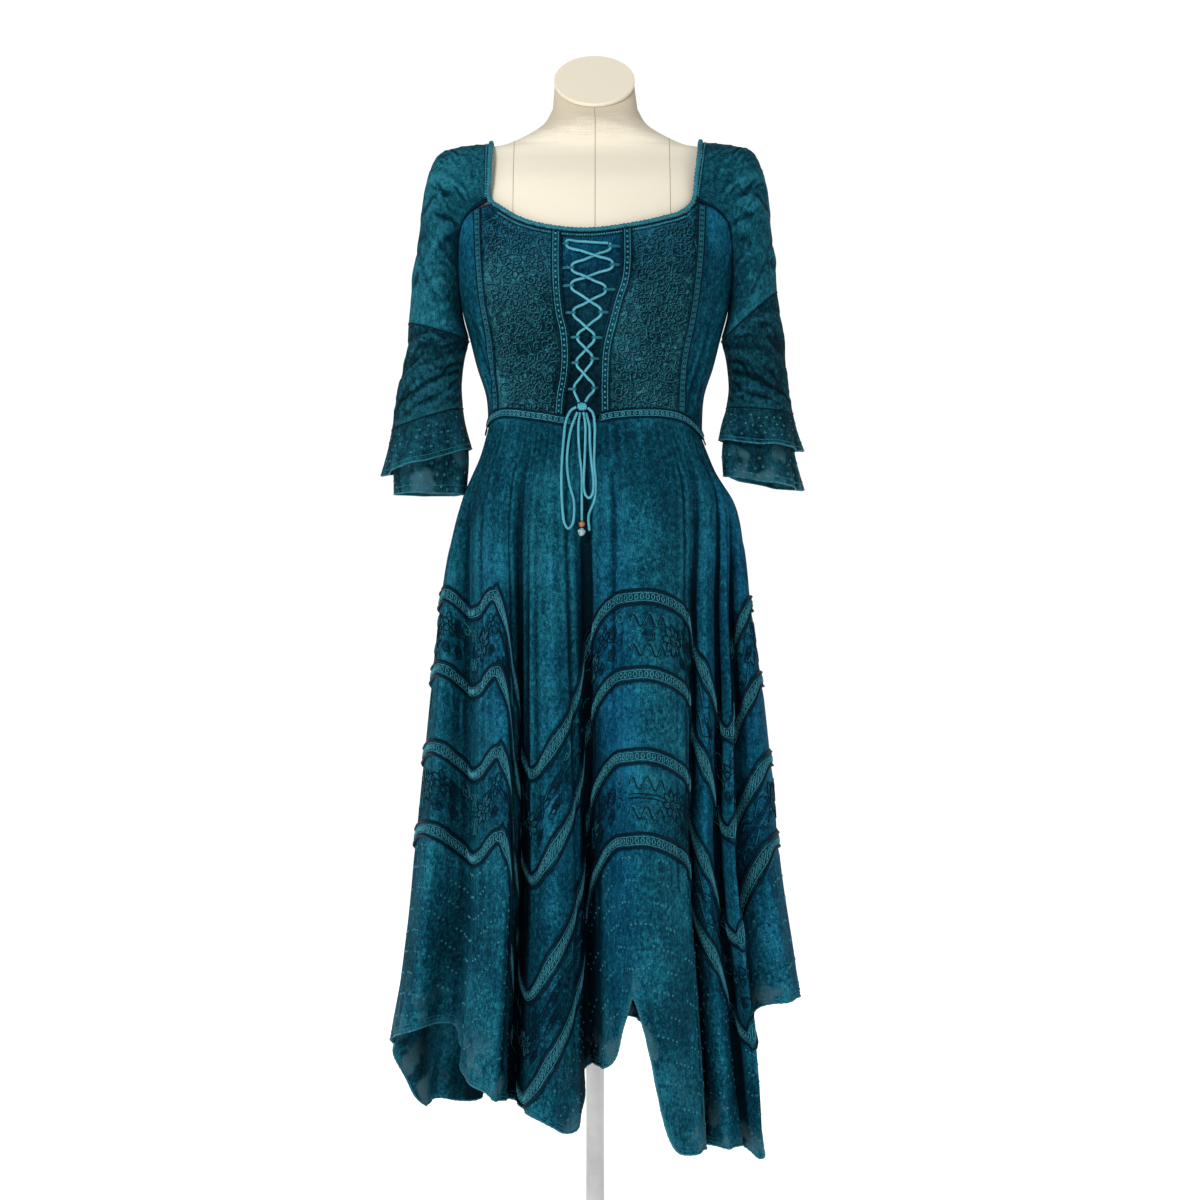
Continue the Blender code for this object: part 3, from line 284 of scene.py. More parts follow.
def washed_cloth(
    name, dye, worms=0.0, streaks=0.6, jacquard=0.0, blotch=0.42, patch=0.6, sheer=False
):
    """Teal rayon: clouds, patches, flecks and streaks. worms adds an embroidered ground."""
    bench = Bench(name, Roughness=0.85, Specular_IOR_Level=0.04)
    place = bench.place()
    clouds = bench.noise(place, 11.0, 4.0, 0.6)
    patches = bench.noise(place, 185.0, 4.0, 0.74)
    crinkle = bench.noise(bench.flat(540.0, 120.0), 1.0, 4.0, 0.72, 1.2)
    grain = bench.noise(bench.flat(1500.0, 620.0), 1.0, 2.0, 0.7)
    flecks = bench.limit(bench.noise(bench.flat(330.0, 210.0), 1.0, 3.0, 0.7), 0.56, 0.72)
    tone = (clouds - 0.5) * blotch + (patches - 0.5) * patch
    tone = tone + (crinkle - 0.5) * streaks + (grain - 0.5) * 0.55 + flecks * 0.13 - 0.02
    relief = crinkle * 1.0 + patches * 0.6 + grain * 0.3
    if worms:
        tangle = bench.tangle(120.0, 120.0, 3.0, 0.6, 2.6, 5.0, 0.06, 0.4)
        tone = tone + (tangle - 0.62) * worms
        relief = relief + tangle * 1.4
    if jacquard:
        vine = bench.tangle(80.0, 60.0, 1.0, 0.4, 2.4, 4.0, 0.34, 0.49)
        tone = tone + (vine - 0.3) * jacquard
        relief = relief + vine * 0.5
    hollow, crease, wear = (bench.attribute(mark) for mark in ("hollow", "crease", "wear"))
    # painted light and shade: the tone is lowered deep in the folds and in small creases and raised
    # on small ridges
    tone = bench.limit(tone + wear * 0.1 - crease * 0.09 - hollow * 0.05, -0.15, 0.19)
    colour, blue = (
        bench.ramp(tone, [(0.0, bath.dark), (0.46, bath.middle), (1.0, bath.light)])
        for bath in (dye, BLUE_DYE)
    )
    colour = bench.mix(bench.attribute("tint"), colour, blue)
    # painted shade: deep in folds and creases the colour is pulled towards the dye's shade colour
    depth = bench.limit(hollow + crease * 0.45, 0.1, 1.05)
    colour = bench.mix(depth * 0.88, colour, dye.deep)
    bench.drive("Base Color", colour)
    bench.drive("Roughness", patches * 0.2 + 0.7)
    if sheer:
        thin = bench.attribute("sheer") * bench.limit(bench.noise(place, 26.0, 2.0), 0.49, 0.58)
        bench.drive("Base Color", bench.mix(thin * 0.62, colour, THIN_TEAL))
        bench.drive("Alpha", 1.0 - thin * 0.1)
    bench.bump(relief, 0.9, 0.002)
    return bench.material


finishes = {
    "skirt": washed_cloth("washed teal skirt cloth", SKIRT_DYE, jacquard=0.1),
    "plain": washed_cloth("washed teal plain cloth", SKIRT_DYE, streaks=0.6),
    "flowered": washed_cloth("washed teal flowered cloth", SKIRT_DYE, jacquard=0.12, blotch=0.6),
    "bottom": washed_cloth("sheer teal hem cloth", SKIRT_DYE, patch=0.6, sheer=True),
    "side": washed_cloth("washed teal side cloth", SKIRT_DYE, streaks=0.45),
    "bodice": washed_cloth(
        "embroidered bodice cloth", BODICE_DYE, worms=0.34, streaks=0.3, patch=0.7, blotch=0.8
    ),
    "sleeve": washed_cloth("sleeve cloth", SLEEVE_DYE, streaks=0.5, patch=0.6),
    "low sleeve": washed_cloth("lower sleeve cloth", DEEP_DYE, streaks=0.5, patch=0.7),
    "sheer": washed_cloth("sheer flounce cloth", DEEP_DYE, patch=0.6, sheer=True),
    "trim": washed_cloth("trim ground", TRIM_DYE, streaks=0.5),
    "dark": washed_cloth("dark inset cloth", INSET_DYE, streaks=0.5),
}
print("cloth finishes:", sorted(finishes))

# %% [markdown]
# ## Threads, cords, linen and beads
#
# Embroidery thread and cord catch the light more than cloth does, so they are paler and a
# little smoother. A fine wave along them stands for their twist: it is a bump, and it is also
# painted into the colour as bands of light and shade. Linen is a plain weave of uneven yarns
# that cross at right angles.


# %% Thread, cord, linen and bead finishes
def thread_finish(name, dark, light, twist):
    bench = Bench(name, Roughness=0.55, Specular_IOR_Level=0.05)
    place = bench.place()
    wear = bench.noise(place, 60.0, 3.0)
    wave = bench.node(
        "ShaderNodeTexWave",
        {"wave_type": "BANDS", "bands_direction": "DIAGONAL"},
        {"Vector": place, "Scale": twist / 6.3, "Distortion": 2.0, "Detail": 1.0},
        output="Fac",
    )
    # the twist wave is painted into the colour as bands of light and shade
    share = bench.limit(wear * 0.7 + wave * 0.4, 0.15, 0.85)
    bench.drive("Base Color", bench.ramp(share, [(0.0, dark), (1.0, light)]))
    bench.bump(wave, 0.4, 0.0004)
    return bench.material


def linen_finish(name, shade, pale):
    bench = Bench(name, Roughness=0.9, Sheen_Weight=0.08, Specular_IOR_Level=0.2)
    place = bench.place()
    warp = bench.noise(bench.stretch(place, (900.0, 900.0, 40.0)), 1.0, 2.0)
    weft = bench.noise(bench.stretch(place, (40.0, 40.0, 900.0)), 1.0, 2.0)
    slubs = bench.noise(bench.stretch(place, (30.0, 30.0, 420.0)), 1.0, 2.0, 0.7)
    clouds = bench.noise(place, 7.0, 3.0)
    height = bench.node("ShaderNodeSeparateXYZ", None, {0: place}, output=2)
    # painted shade: the linen is darkened on the upper neck, just under the cap
    shade_under_cap = bench.limit(height, 1.385, 1.435)
    tone = warp * 0.3 + weft * 0.45 + slubs * 0.3 + clouds * 0.3 - shade_under_cap * 0.7
    tone = bench.limit(tone, 0.2, 0.82)
    bench.drive("Base Color", bench.ramp(tone, [(0.0, shade), (0.6, pale), (1.0, pale)]))
    bench.bump(warp + weft, 0.25, 0.0006)
    return bench.material


def bead_finish(name, dark, light, scale, coat):
    bench = Bench(name, Roughness=0.22, Coat_Roughness=0.05, Specular_IOR_Level=0.6)
    bench.shader.inputs["Coat Weight"].default_value = coat
    veins = bench.noise(bench.place(), scale, 4.0, 0.6, 1.0)
    bench.drive("Base Color", bench.ramp(bench.limit(veins, 0.3, 0.7), [(0.0, dark), (1.0, light)]))
    bench.bump(veins, 0.3, 0.0006)
    return bench.material


def paint_finish(name, colour):
    bench = Bench(name, Roughness=0.45)
    scuffs = bench.noise(bench.place(), 35.0, 5.0, 0.7)
    worn = tuple(c * 0.9 for c in colour)
    scuffed = bench.limit(scuffs, 0.35, 0.65)
    bench.drive("Base Color", bench.ramp(scuffed, [(0.0, worn), (1.0, colour)]))
    bench.drive("Roughness", scuffs * 0.25 + 0.32)
    return bench.material


for name, label, dark, light, twist in (
    ("pale thread", "pale thread", (0.006, 0.105, 0.15), (0.085, 0.37, 0.45), 900.0),
    ("soft thread", "soft thread", (0.003, 0.056, 0.085), (0.036, 0.215, 0.28), 900.0),
    ("dark thread", "dark thread", (0.0003, 0.004, 0.01), (0.0008, 0.016, 0.032), 900.0),
    ("lace", "braided lace", (0.018, 0.19, 0.26), (0.13, 0.45, 0.55), 1500.0),
    ("seam thread", "seam thread", (0.3, 0.29, 0.25), (0.42, 0.4, 0.34), 900.0),
):
    finishes[name] = thread_finish(label, dark, light, twist)
finishes["linen"] = linen_finish("linen", (0.56, 0.49, 0.37), (0.775, 0.715, 0.58))
finishes["cap linen"] = linen_finish("cap linen", (0.8, 0.735, 0.59), (0.87, 0.8, 0.655))
finishes["amber"] = bead_finish(
    "amber bead", (0.12, 0.03, 0.006), (0.52, 0.2, 0.05), 260.0, 0.8
)
finishes["turquoise"] = bead_finish(
    "turquoise bead", (0.05, 0.16, 0.16), (0.42, 0.66, 0.64), 420.0, 0.6
)
finishes["paint"] = paint_finish("cream paint", (0.92, 0.92, 0.9))
print("finishes in all:", len(finishes))

# %% [markdown]
# ## The cutting table
#
# The sizes below are the ones the solids were built from. Each table lists a few places, and
# `through` draws a smooth curve through them, as a dressmaker draws a curve through chalk
# marks. All of it works on whole lists of points at once, which keeps fine sheets quick.

# %% Sizes and curves
CLOTH = 0.0012
SEAM_GAP = 0.0003
WAIST_GAP = 0.001
WAIST_Z = 1.04
BODICE_TRIM_WIDTH = 0.0125
SKIRT_TRIM_HALF = 0.01
SKIRT_TRIM_WALL = 0.0012
BODICE_TRIM_WALL = 0.001
SKIRT_TRIM_SEAT = CLOTH + 0.0009
BODICE_TRIM_SEAT = CLOTH + 0.0011
LACE_DIAMETER = 0.0032


def through(keys, values):
    """A smooth curve through values that lie at rising keys, as a function of the key."""
    keys, values = np.array(keys, float), np.array(values, float)
    steps = np.diff(values) / np.diff(keys)
    slopes = np.concatenate([steps[:1], (steps[:-1] + steps[1:]) / 2, steps[-1:]])

    def read(key):
        key = np.clip(key, keys[0], keys[-1])
        i = np.clip(np.searchsorted(keys, key, side="right") - 1, 0, len(keys) - 2)
        span = keys[i + 1] - keys[i]
        t = (key - keys[i]) / span
        rise = t * t * (3 - 2 * t)
        start = t * (1 - t) * (1 - t) * span * slopes[i]
        end = t * t * (t - 1) * span * slopes[i + 1]
        return values[i] * (1 - rise) + values[i + 1] * rise + start + end

    return read


def columns_of(rows, key=0):
    """One smooth curve for each column of a table, all read by the same key column."""
    keys = [row[key] for row in rows]
    return [through(keys, [row[i] for row in rows]) for i in range(len(rows[0])) if i != key]


def rows_of(*columns):
    """Three lists of numbers as one list of points."""
    return np.stack(np.broadcast_arrays(*columns), axis=-1).astype(float)


def gone_along(points):
    """The distance gone along a line at each of its points."""
    steps = np.linalg.norm(np.diff(points, axis=0), axis=1)
    return np.concatenate([[0.0], np.cumsum(steps)])


def unit(vectors):
    return vectors / np.maximum(np.linalg.norm(vectors, axis=-1, keepdims=True), 1e-12)


# z, half width, front, back
BODY = [
    (1.0, 0.133, 0.099, 0.09), (1.04, 0.1325, 0.099, 0.089), (1.075, 0.1352, 0.102, 0.09),
    (1.11, 0.1463, 0.11, 0.092), (1.146, 0.1555, 0.12, 0.094), (1.18, 0.165, 0.126, 0.096),
    (1.22, 0.171, 0.125, 0.098), (1.26, 0.1735, 0.115, 0.1), (1.3, 0.175, 0.101, 0.1),
    (1.34, 0.176, 0.086, 0.096),
]
half_width_at, front_at, back_at = columns_of(BODY)

# degrees round the waist, z
WAIST_LINE = [
    (-180, 1.028), (-120, 1.027), (-88, 1.031), (-72, 1.045), (-58, 1.05), (-30, 1.044),
    (-10, 1.037), (0, 1.04), (10, 1.045), (44, 1.047), (58, 1.04), (70, 1.03), (88, 1.019),
    (120, 1.022), (180, 1.028),
]
(waist_at,) = columns_of(WAIST_LINE)


def waist_z(turn):
    return waist_at((np.degrees(turn) + 180) % 360 - 180)


def turn_at(x, z):
    return np.arcsin(np.clip(x / half_width_at(z), -1.0, 1.0))


print("body table:", len(BODY), "rows; waist line:", len(WAIST_LINE), "points")

# %% [markdown]
# ## Creases placed one by one
#
# Cloth creases where it is pulled or pushed: down from a strap, in at the waist, across an
# elbow. Each crease is one row: where it starts, where it ends, how wide it is and how far it
# rises or sinks. A row's edge wanders a little, so that no two look drawn with a ruler.


# %% Creases
def crease_field(a, b, rows):
    """How far the cloth is moved out at (a, b), from rows of (a0, b0, a1, b1, width, height)."""
    moved = np.zeros(np.broadcast(a, b).shape)
    for number, (a0, b0, a1, b1, width, height) in enumerate(rows):
        along_a, along_b = a1 - a0, b1 - b0
        length = math.hypot(along_a, along_b)
        along_a, along_b = along_a / length, along_b / length
        t = (a - a0) * along_a + (b - b0) * along_b
        wander = 0.35 * width * np.sin(t / length * 5.1 + number * 1.7)
        side = (a - a0) * along_b - (b - b0) * along_a + wander
        past = np.maximum(np.maximum(-t, t - length), 0.0)
        taper = 0.65 + 0.35 * np.sin(t / length * 3.3 + number)
        fall = np.exp(-((side / width) ** 2) - (past / (1.6 * width)) ** 2)
        moved = moved + height * taper * fall
    return moved


def smooth_step(value, low, high):
    t = np.clip((value - low) / (high - low), 0.0, 1.0)
    return t * t * (3 - 2 * t)


# distance round the body from the centre front, z: start, end, width, height
BODY_CREASES = [
    (0.15, 1.045, 0.158, 1.15, 0.005, 0.002), (0.164, 1.04, 0.172, 1.18, 0.0055, -0.0022),
    (0.178, 1.04, 0.186, 1.165, 0.005, 0.0024), (0.196, 1.035, 0.202, 1.15, 0.006, -0.002),
    (0.16, 1.19, 0.2, 1.255, 0.007, 0.0014), (-0.152, 1.06, -0.17, 1.16, 0.006, 0.0018),
    (-0.172, 1.05, -0.192, 1.17, 0.0065, -0.002), (-0.196, 1.05, -0.208, 1.15, 0.006, 0.0018),
    (-0.135, 1.286, -0.08, 1.262, 0.005, -0.0013), (-0.132, 1.276, -0.07, 1.25, 0.005, 0.0013),
    (-0.12, 1.262, -0.085, 1.245, 0.005, -0.001), (0.118, 1.28, 0.075, 1.262, 0.005, -0.0011),
    (0.116, 1.268, 0.08, 1.252, 0.0045, 0.001), (-0.07, 1.06, -0.066, 1.13, 0.006, 0.0008),
    (-0.092, 1.056, -0.096, 1.15, 0.007, -0.0008), (0.05, 1.062, 0.054, 1.14, 0.0065, 0.0008),
    (0.084, 1.062, 0.09, 1.13, 0.006, -0.0008), (0.3, 1.045, 0.32, 1.19, 0.008, 0.0022),
    (0.34, 1.04, 0.35, 1.17, 0.008, -0.0022), (0.39, 1.045, 0.385, 1.22, 0.009, 0.002),
    (0.44, 1.045, 0.43, 1.18, 0.008, -0.0018), (-0.3, 1.045, -0.325, 1.2, 0.008, 0.002),
    (-0.35, 1.045, -0.35, 1.16, 0.008, -0.0022), (-0.4, 1.045, -0.395, 1.23, 0.009, 0.002),
    (-0.45, 1.045, -0.44, 1.17, 0.008, -0.0018), (0.26, 1.2, 0.4, 1.262, 0.008, 0.0014),
    (-0.26, 1.2, -0.4, 1.258, 0.008, 0.0014),
]
BODY_RADIUS = 0.158


def body_point(turn, z, out=0.0, creased=True):
    """A point of the bodice. turn is 0 in front and a quarter circle at the picture's right."""
    half_width = half_width_at(z)
    depth = np.where(np.cos(turn) > 0, front_at(z), back_at(z))
    x, y = half_width * np.sin(turn), -depth * np.cos(turn)
    away = unit(rows_of(x / half_width**2, y / depth**2, 0.0 * x))
    if creased:
        wrapped = (turn + math.pi) % (2 * math.pi) - math.pi
        fade = smooth_step(z, 1.035, 1.075)
        out = out + crease_field(wrapped * BODY_RADIUS, z, BODY_CREASES) * fade
    return rows_of(x, y, z) + away * np.expand_dims(out + 0.0 * x, -1)


def on_front(x, z, out=0.0, creased=True):
    return body_point(turn_at(x, z), z, out, creased)


print("creases on the bodice:", len(BODY_CREASES))

# %% [markdown]
# ## Laying a sheet
#
# Every panel is made the same way: a flat grid is cut with `create_grid`, each of its points
# is moved to its place on the body, and a Solidify modifier gives the cloth its thickness.
# The flat grid keeps its unrolled place in a UV map in metres, so streaks and weave follow
# the cloth round each fold. Its longest row and column are the size of the cut.


# %% Sheets
def write_flat_map(mesh, across, along):
    layer = mesh.uv_layers.new(name="cloth")
    corner = np.empty(len(mesh.loops), np.int64)
    mesh.loops.foreach_get("vertex_index", corner)
    unrolled = np.stack([across[corner], along[corner]], -1)
    layer.data.foreach_set("uv", unrolled.astype(np.float32).ravel())


def write_attribute(mesh, name, values):
    attribute = mesh.attributes.new(name, "FLOAT", "POINT")
    attribute.data.foreach_set("value", np.asarray(values, np.float32))


def cut_size(points, columns, rows, level=False):
    """The longest row, the longest column and the area of a sheet, in metres."""
    net = points.reshape(rows + 1, columns + 1, 3)
    across = np.linalg.norm(np.diff(net[..., :2] if level else net, axis=1), axis=-1)
    along = np.linalg.norm(np.diff(net, axis=0), axis=-1)
    one, two = net[1:, :-1] - net[:-1, :-1], net[:-1, 1:] - net[:-1, :-1]
    area = np.linalg.norm(np.cross(one, two), axis=-1).sum()
    return across.sum(1).max(), along.sum(0).max(), area


def finish_piece(piece, nodes):
    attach(piece, "root")
    if nodes:
        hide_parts(*nodes)
    return piece


def piece_of(name, shape, finish, nodes, smooth=True):
    """A finished piece from a bmesh."""
    mesh = bpy.data.meshes.new(name)
    shape.to_mesh(mesh)
    shape.free()
    if smooth:
        mesh.shade_smooth()
    mesh.materials.append(finishes[finish])
    piece = bpy.data.objects.new(name, mesh)
    dress.objects.link(piece)
    return finish_piece(piece, nodes)


cuts = {}
CREASE_REACH = 0.0075
CREASE_DEPTH = 0.0019


def crease_depth(points, away, columns, rows):
    """How far each point lies below (+) or above (-) the cloth around it, from -1 to 1."""
    net, away = points.reshape(rows + 1, columns + 1, 3), away.reshape(rows + 1, columns + 1, 3)
    depth = np.zeros(net.shape[:2])
    for axis, count in ((1, columns), (0, rows)):
        step = np.linalg.norm(np.diff(net, axis=axis), axis=-1).mean()
        reach = int(np.clip(round(CREASE_REACH / step), 1, count // 3))
        index = np.arange(count + 1)
        before = np.take(net, np.maximum(index - reach, 0), axis=axis)
        after = np.take(net, np.minimum(index + reach, count), axis=axis)
        inside = (index >= reach) & (index <= count - reach)
        found = (((before + after) / 2 - net) * away).sum(-1)
        depth = depth + found * (inside[None, :] if axis else inside[:, None])
    return np.clip(depth / CREASE_DEPTH, -1.0, 1.0).ravel()


def lay_sheet(
    node, point, columns, rows, finish, seat=0.0, wall=CLOTH, ring=False, flat=None,
    held="hung", rests_on=(), slot="rayon_teal", **marks,
):
    """One sheet of cloth for one node: point(across, down, out) gives its place.

    The marks, fold depth for painted shade, wear, tint and sheer, are functions of
    (across, down) for the material.
    """
    sheet = bmesh.new()
    bmesh.ops.create_grid(sheet, x_segments=columns, y_segments=rows, size=0.5)
    places = np.array([vert.co[:2] for vert in sheet.verts]) + 0.5
    order = np.lexsort((places[:, 0], np.round(places[:, 1], 6)))
    across, down = places[:, 0], places[:, 1]
    inner, outer = point(across, down, seat), point(across, down, seat + 0.001)
    width, length, area = cut_size(inner[order], columns, rows, level=node.startswith("bodice"))
    for vert, place in zip(sheet.verts, inner):
        vert.co = place
    sheet.normal_update()
    normals = np.array([vert.normal[:] for vert in sheet.verts])
    if ((outer - inner) * normals).sum() < 0:
        bmesh.ops.reverse_faces(sheet, faces=sheet.faces)
    mesh = bpy.data.meshes.new(f"{node}_cloth")
    sheet.to_mesh(mesh)
    sheet.free()
    u, v = flat(across, down) if flat else (across * width, down * length)
    write_flat_map(mesh, u, v)
    # how far each point lies in a small crease, for the painted shade in creases and the painted
    # light on ridges
    crease = np.empty(len(order))
    crease[order] = crease_depth(inner[order], unit(outer - inner)[order], columns, rows)
    write_attribute(mesh, "crease", crease)
    for name in ("hollow", "wear", "tint", "sheer"):
        mark = marks.get(name)
        write_attribute(mesh, name, mark(across, down) if mark else 0.0 * across)
    if ring:
        joined = bmesh.new()
        joined.from_mesh(mesh)
        bmesh.ops.remove_doubles(joined, verts=joined.verts, dist=0.00005)
        joined.to_mesh(mesh)
        joined.free()
    mesh.materials.append(finishes[finish])
    mesh.shade_smooth()
    piece = bpy.data.objects.new(f"{node}_cloth", mesh)
    dress.objects.link(piece)
    thick = piece.modifiers.new("cloth thickness", "SOLIDIFY")
    thick.thickness = wall
    thick.offset = 1.0
    finish_piece(piece, [node])
    width, length = math.ceil(width * 1000) / 1000, math.ceil(length * 1000) / 1000
    area = min(area, width * length)
    cuts[node] = (width, length)
    return piece


print("sheets can be laid")

# %% [markdown]
# ## Threads and cords as curves
#
# A thread is a curve with a round bevel. Hundreds of stitches fit in one curve object, each
# as its own short spline, with its own radius and colour. That keeps a band of embroidery one
# piece that is sewn to one panel.

# %% Threads
Thread = namedtuple("Thread", "points radius tone closed")
BEVEL = 0.001


def sew_threads(name, threads, tones, sides=0):
    """One curve object from many threads. A thread's tone counts into the list of finishes."""
    curve = bpy.data.curves.new(name, "CURVE")
    curve.dimensions = "3D"
    curve.bevel_depth = BEVEL
    curve.bevel_resolution = sides
    curve.use_fill_caps = True
    for tone in tones:
        curve.materials.append(finishes[tone])
    for thread in threads:
        spline = curve.splines.new("POLY")
        count = len(thread.points)
        spline.points.add(count - 1)
        weighted = np.concatenate([thread.points, np.ones((count, 1))], 1)
        spline.points.foreach_set("co", weighted.astype(np.float32).ravel())
        radius = np.broadcast_to(np.asarray(thread.radius, float) / BEVEL, (count,))
        spline.points.foreach_set("radius", radius.astype(np.float32))
        spline.use_cyclic_u = thread.closed
        spline.material_index = thread.tone
    piece = bpy.data.objects.new(name, curve)
    dress.objects.link(piece)
    return piece


def smooth_path(points, spacing, closed=False):
    """Points at an even spacing on a smooth curve through the given ones."""
    points = np.array(points, float)
    if closed:
        points = np.concatenate([points[-3:], points, points[:4]])
    gone = gone_along(points)
    first, last = (gone[3], gone[-4]) if closed else (gone[0], gone[-1])
    count = max(int(round((last - first) / spacing)), 2)
    at = np.linspace(first, last, count + 1)[: count if closed else count + 1]
    return np.stack([through(gone, points[:, i])(at) for i in range(3)], -1)


print("threads can be sewn")

# %% [markdown]
# ## The dress form
#
# A dress form is a padded torso covered in linen, cut in long upright gores. Its shape is a
# stack of ovals, so one grid wrapped round the body and up to the slanted neck is enough.
# Three seams are laid on it as fine threads, and the neck ends in a flat cap.

# %% Linen torso
FORM_CLEARANCE = 0.0055
# z, half width, front, back, tilt
FORM_ROWS = [
    (0.86, 0.142, 0.087, 0.099, 0.0), (0.91, 0.142, 0.09, 0.099, 0.0),
    (0.965, 0.136, 0.091, 0.094, 0.0),
]
FORM_ROWS += [(z, *(side - FORM_CLEARANCE for side in sides), 0.0) for z, *sides in BODY[1:-1]]
FORM_ROWS += [
    (1.335, 0.169, 0.08, 0.09, 0.0), (1.355, 0.168, 0.064, 0.074, 0.0),
    (1.37, 0.1635, 0.049, 0.055, 0.0), (1.379, 0.1555, 0.042, 0.046, 0.0),
    (1.3838, 0.1385, 0.04, 0.043, 0.0), (1.3885, 0.1125, 0.04, 0.043, 0.0),
    (1.401, 0.085, 0.044, 0.049, 0.05), (1.415, 0.064, 0.045, 0.048, 0.15),
    (1.433, 0.053, 0.043, 0.046, 0.4),
]
CAP_HALF_WIDTH, CAP_HALF_LENGTH, CAP_THICKNESS = 0.0505, 0.0526, 0.005
CAP_TOP = np.array([-0.001, 0.0, 1.4706])
CAP_TILT = math.radians(45)
CAP_ALONG = np.array([0.0, math.cos(CAP_TILT), math.sin(CAP_TILT)])
CAP_OUT = np.array([0.0, -math.sin(CAP_TILT), math.cos(CAP_TILT)])
FORM_SIDES = 96


def form_point(turn, row, out=0.0):
    """A point of the linen torso. row counts through the table, one past its end at the neck."""
    turn, row = np.broadcast_arrays(np.asarray(turn, float), np.asarray(row, float))
    steps = range(len(FORM_ROWS))
    inside = np.minimum(row, len(FORM_ROWS) - 1)
    curves = [through(steps, [r[i] for r in FORM_ROWS]) for i in range(5)]
    z, half_width, front, back, tilt = (curve(inside) for curve in curves)
    depth = np.where(np.cos(turn) > 0, front, back) + out
    y = -depth * np.cos(turn)
    ring = rows_of((half_width + out) * np.sin(turn), y, z + tilt * y)
    neck = CAP_TOP - CAP_OUT * (CAP_THICKNESS + SEAM_GAP)
    top = neck + np.multiply.outer((CAP_HALF_WIDTH - 0.001 + out) * np.sin(turn), [1.0, 0.0, 0.0])
    top = top - np.multiply.outer((CAP_HALF_LENGTH - 0.001 + out) * np.cos(turn), CAP_ALONG)
    share = np.expand_dims(np.clip(row - (len(FORM_ROWS) - 1), 0.0, 1.0), -1)
    return ring * (1 - share) + top * share


def build_torso():
    body = bmesh.new()
    rows = 4 * len(FORM_ROWS)
    bmesh.ops.create_grid(body, x_segments=FORM_SIDES, y_segments=rows, size=0.5)
    places = np.array([vert.co[:2] for vert in body.verts]) + 0.5
    spots = form_point(places[:, 0] * 2 * math.pi, places[:, 1] * len(FORM_ROWS))
    for vert, spot in zip(body.verts, spots):
        vert.co = spot
    bmesh.ops.remove_doubles(body, verts=body.verts, dist=0.00005)
    bmesh.ops.holes_fill(body, edges=[edge for edge in body.edges if edge.is_boundary])
    bmesh.ops.recalc_face_normals(body, faces=body.faces)
    return piece_of("linen_torso", body, "linen", ["form_torso"])


def build_cap():
    cap = bmesh.new()
    bmesh.ops.create_cone(
        cap, cap_ends=True, segments=72, radius1=1.0, radius2=1.0, depth=CAP_THICKNESS
    )
    bmesh.ops.scale(cap, vec=(CAP_HALF_WIDTH, CAP_HALF_LENGTH, 1.0), verts=cap.verts)
    rim = [edge for edge in cap.edges if edge.calc_face_angle(0.0) > 1.0]
    bmesh.ops.bevel(
        cap, geom=rim, offset=0.0014, segments=3, profile=0.5, affect="EDGES", material=-1
    )
    bmesh.ops.rotate(cap, matrix=Matrix.Rotation(CAP_TILT, 3, "X"), verts=cap.verts)
    bmesh.ops.translate(cap, vec=Vector(CAP_TOP - CAP_OUT * CAP_THICKNESS / 2), verts=cap.verts)
    return piece_of("linen_neck_cap", cap, "cap linen", ["form_neck_cap"], smooth=False)


def build_form_seams():
    """The middle seam runs over the neck; the side seams hang straight, front and back."""
    threads = []
    for turn in (0.0, math.pi):
        path = form_point(turn, np.linspace(5.0, len(FORM_ROWS), 90), 0.0001)
        threads.append(Thread(path, 0.00045, 0, False))
    widths = through(range(len(FORM_ROWS)), [row[1] for row in FORM_ROWS])
    up = np.linspace(6.0, 17.6, 120)
    for x in (-0.1004, 0.0919):
        rows = up[widths(up) > abs(x)]
        turn = np.arcsin(x / widths(rows))
        threads.append(Thread(form_point(turn, rows, 0.0001), 0.0004, 0, False))
        threads.append(Thread(form_point(math.pi - turn, rows, 0.0001), 0.0004, 0, False))
    seams = sew_threads("form_seams", threads, ["seam thread"])
    return finish_piece(seams, [])


torso = build_torso()
build_cap()
build_form_seams()
print("torso points:", len(torso.data.vertices))

# %% [markdown]
# ## The stand
#
# A form stands on a pole in a round base. Both are turned shapes, so a profile is spun round
# the upright axis, which gives the base its soft rim and the pole its collar in one go.


# %% Stand
def turned(name, profile, node):
    """A turned piece from a profile of (radius, z)."""
    lathe = bmesh.new()
    verts = [lathe.verts.new((radius, 0.0, z)) for radius, z in profile]
    edges = [lathe.edges.new(pair) for pair in zip(verts, verts[1:])]
    bmesh.ops.spin(
        lathe, geom=verts + edges, cent=(0.0, 0.0, 0.0), axis=(0.0, 0.0, 1.0),
        dvec=(0.0, 0.0, 0.0), angle=2 * math.pi, steps=72, use_merge=True,
    )
    bmesh.ops.remove_doubles(lathe, verts=lathe.verts, dist=0.00002)
    bmesh.ops.recalc_face_normals(lathe, faces=lathe.faces)
    return piece_of(name, lathe, "paint", [node])


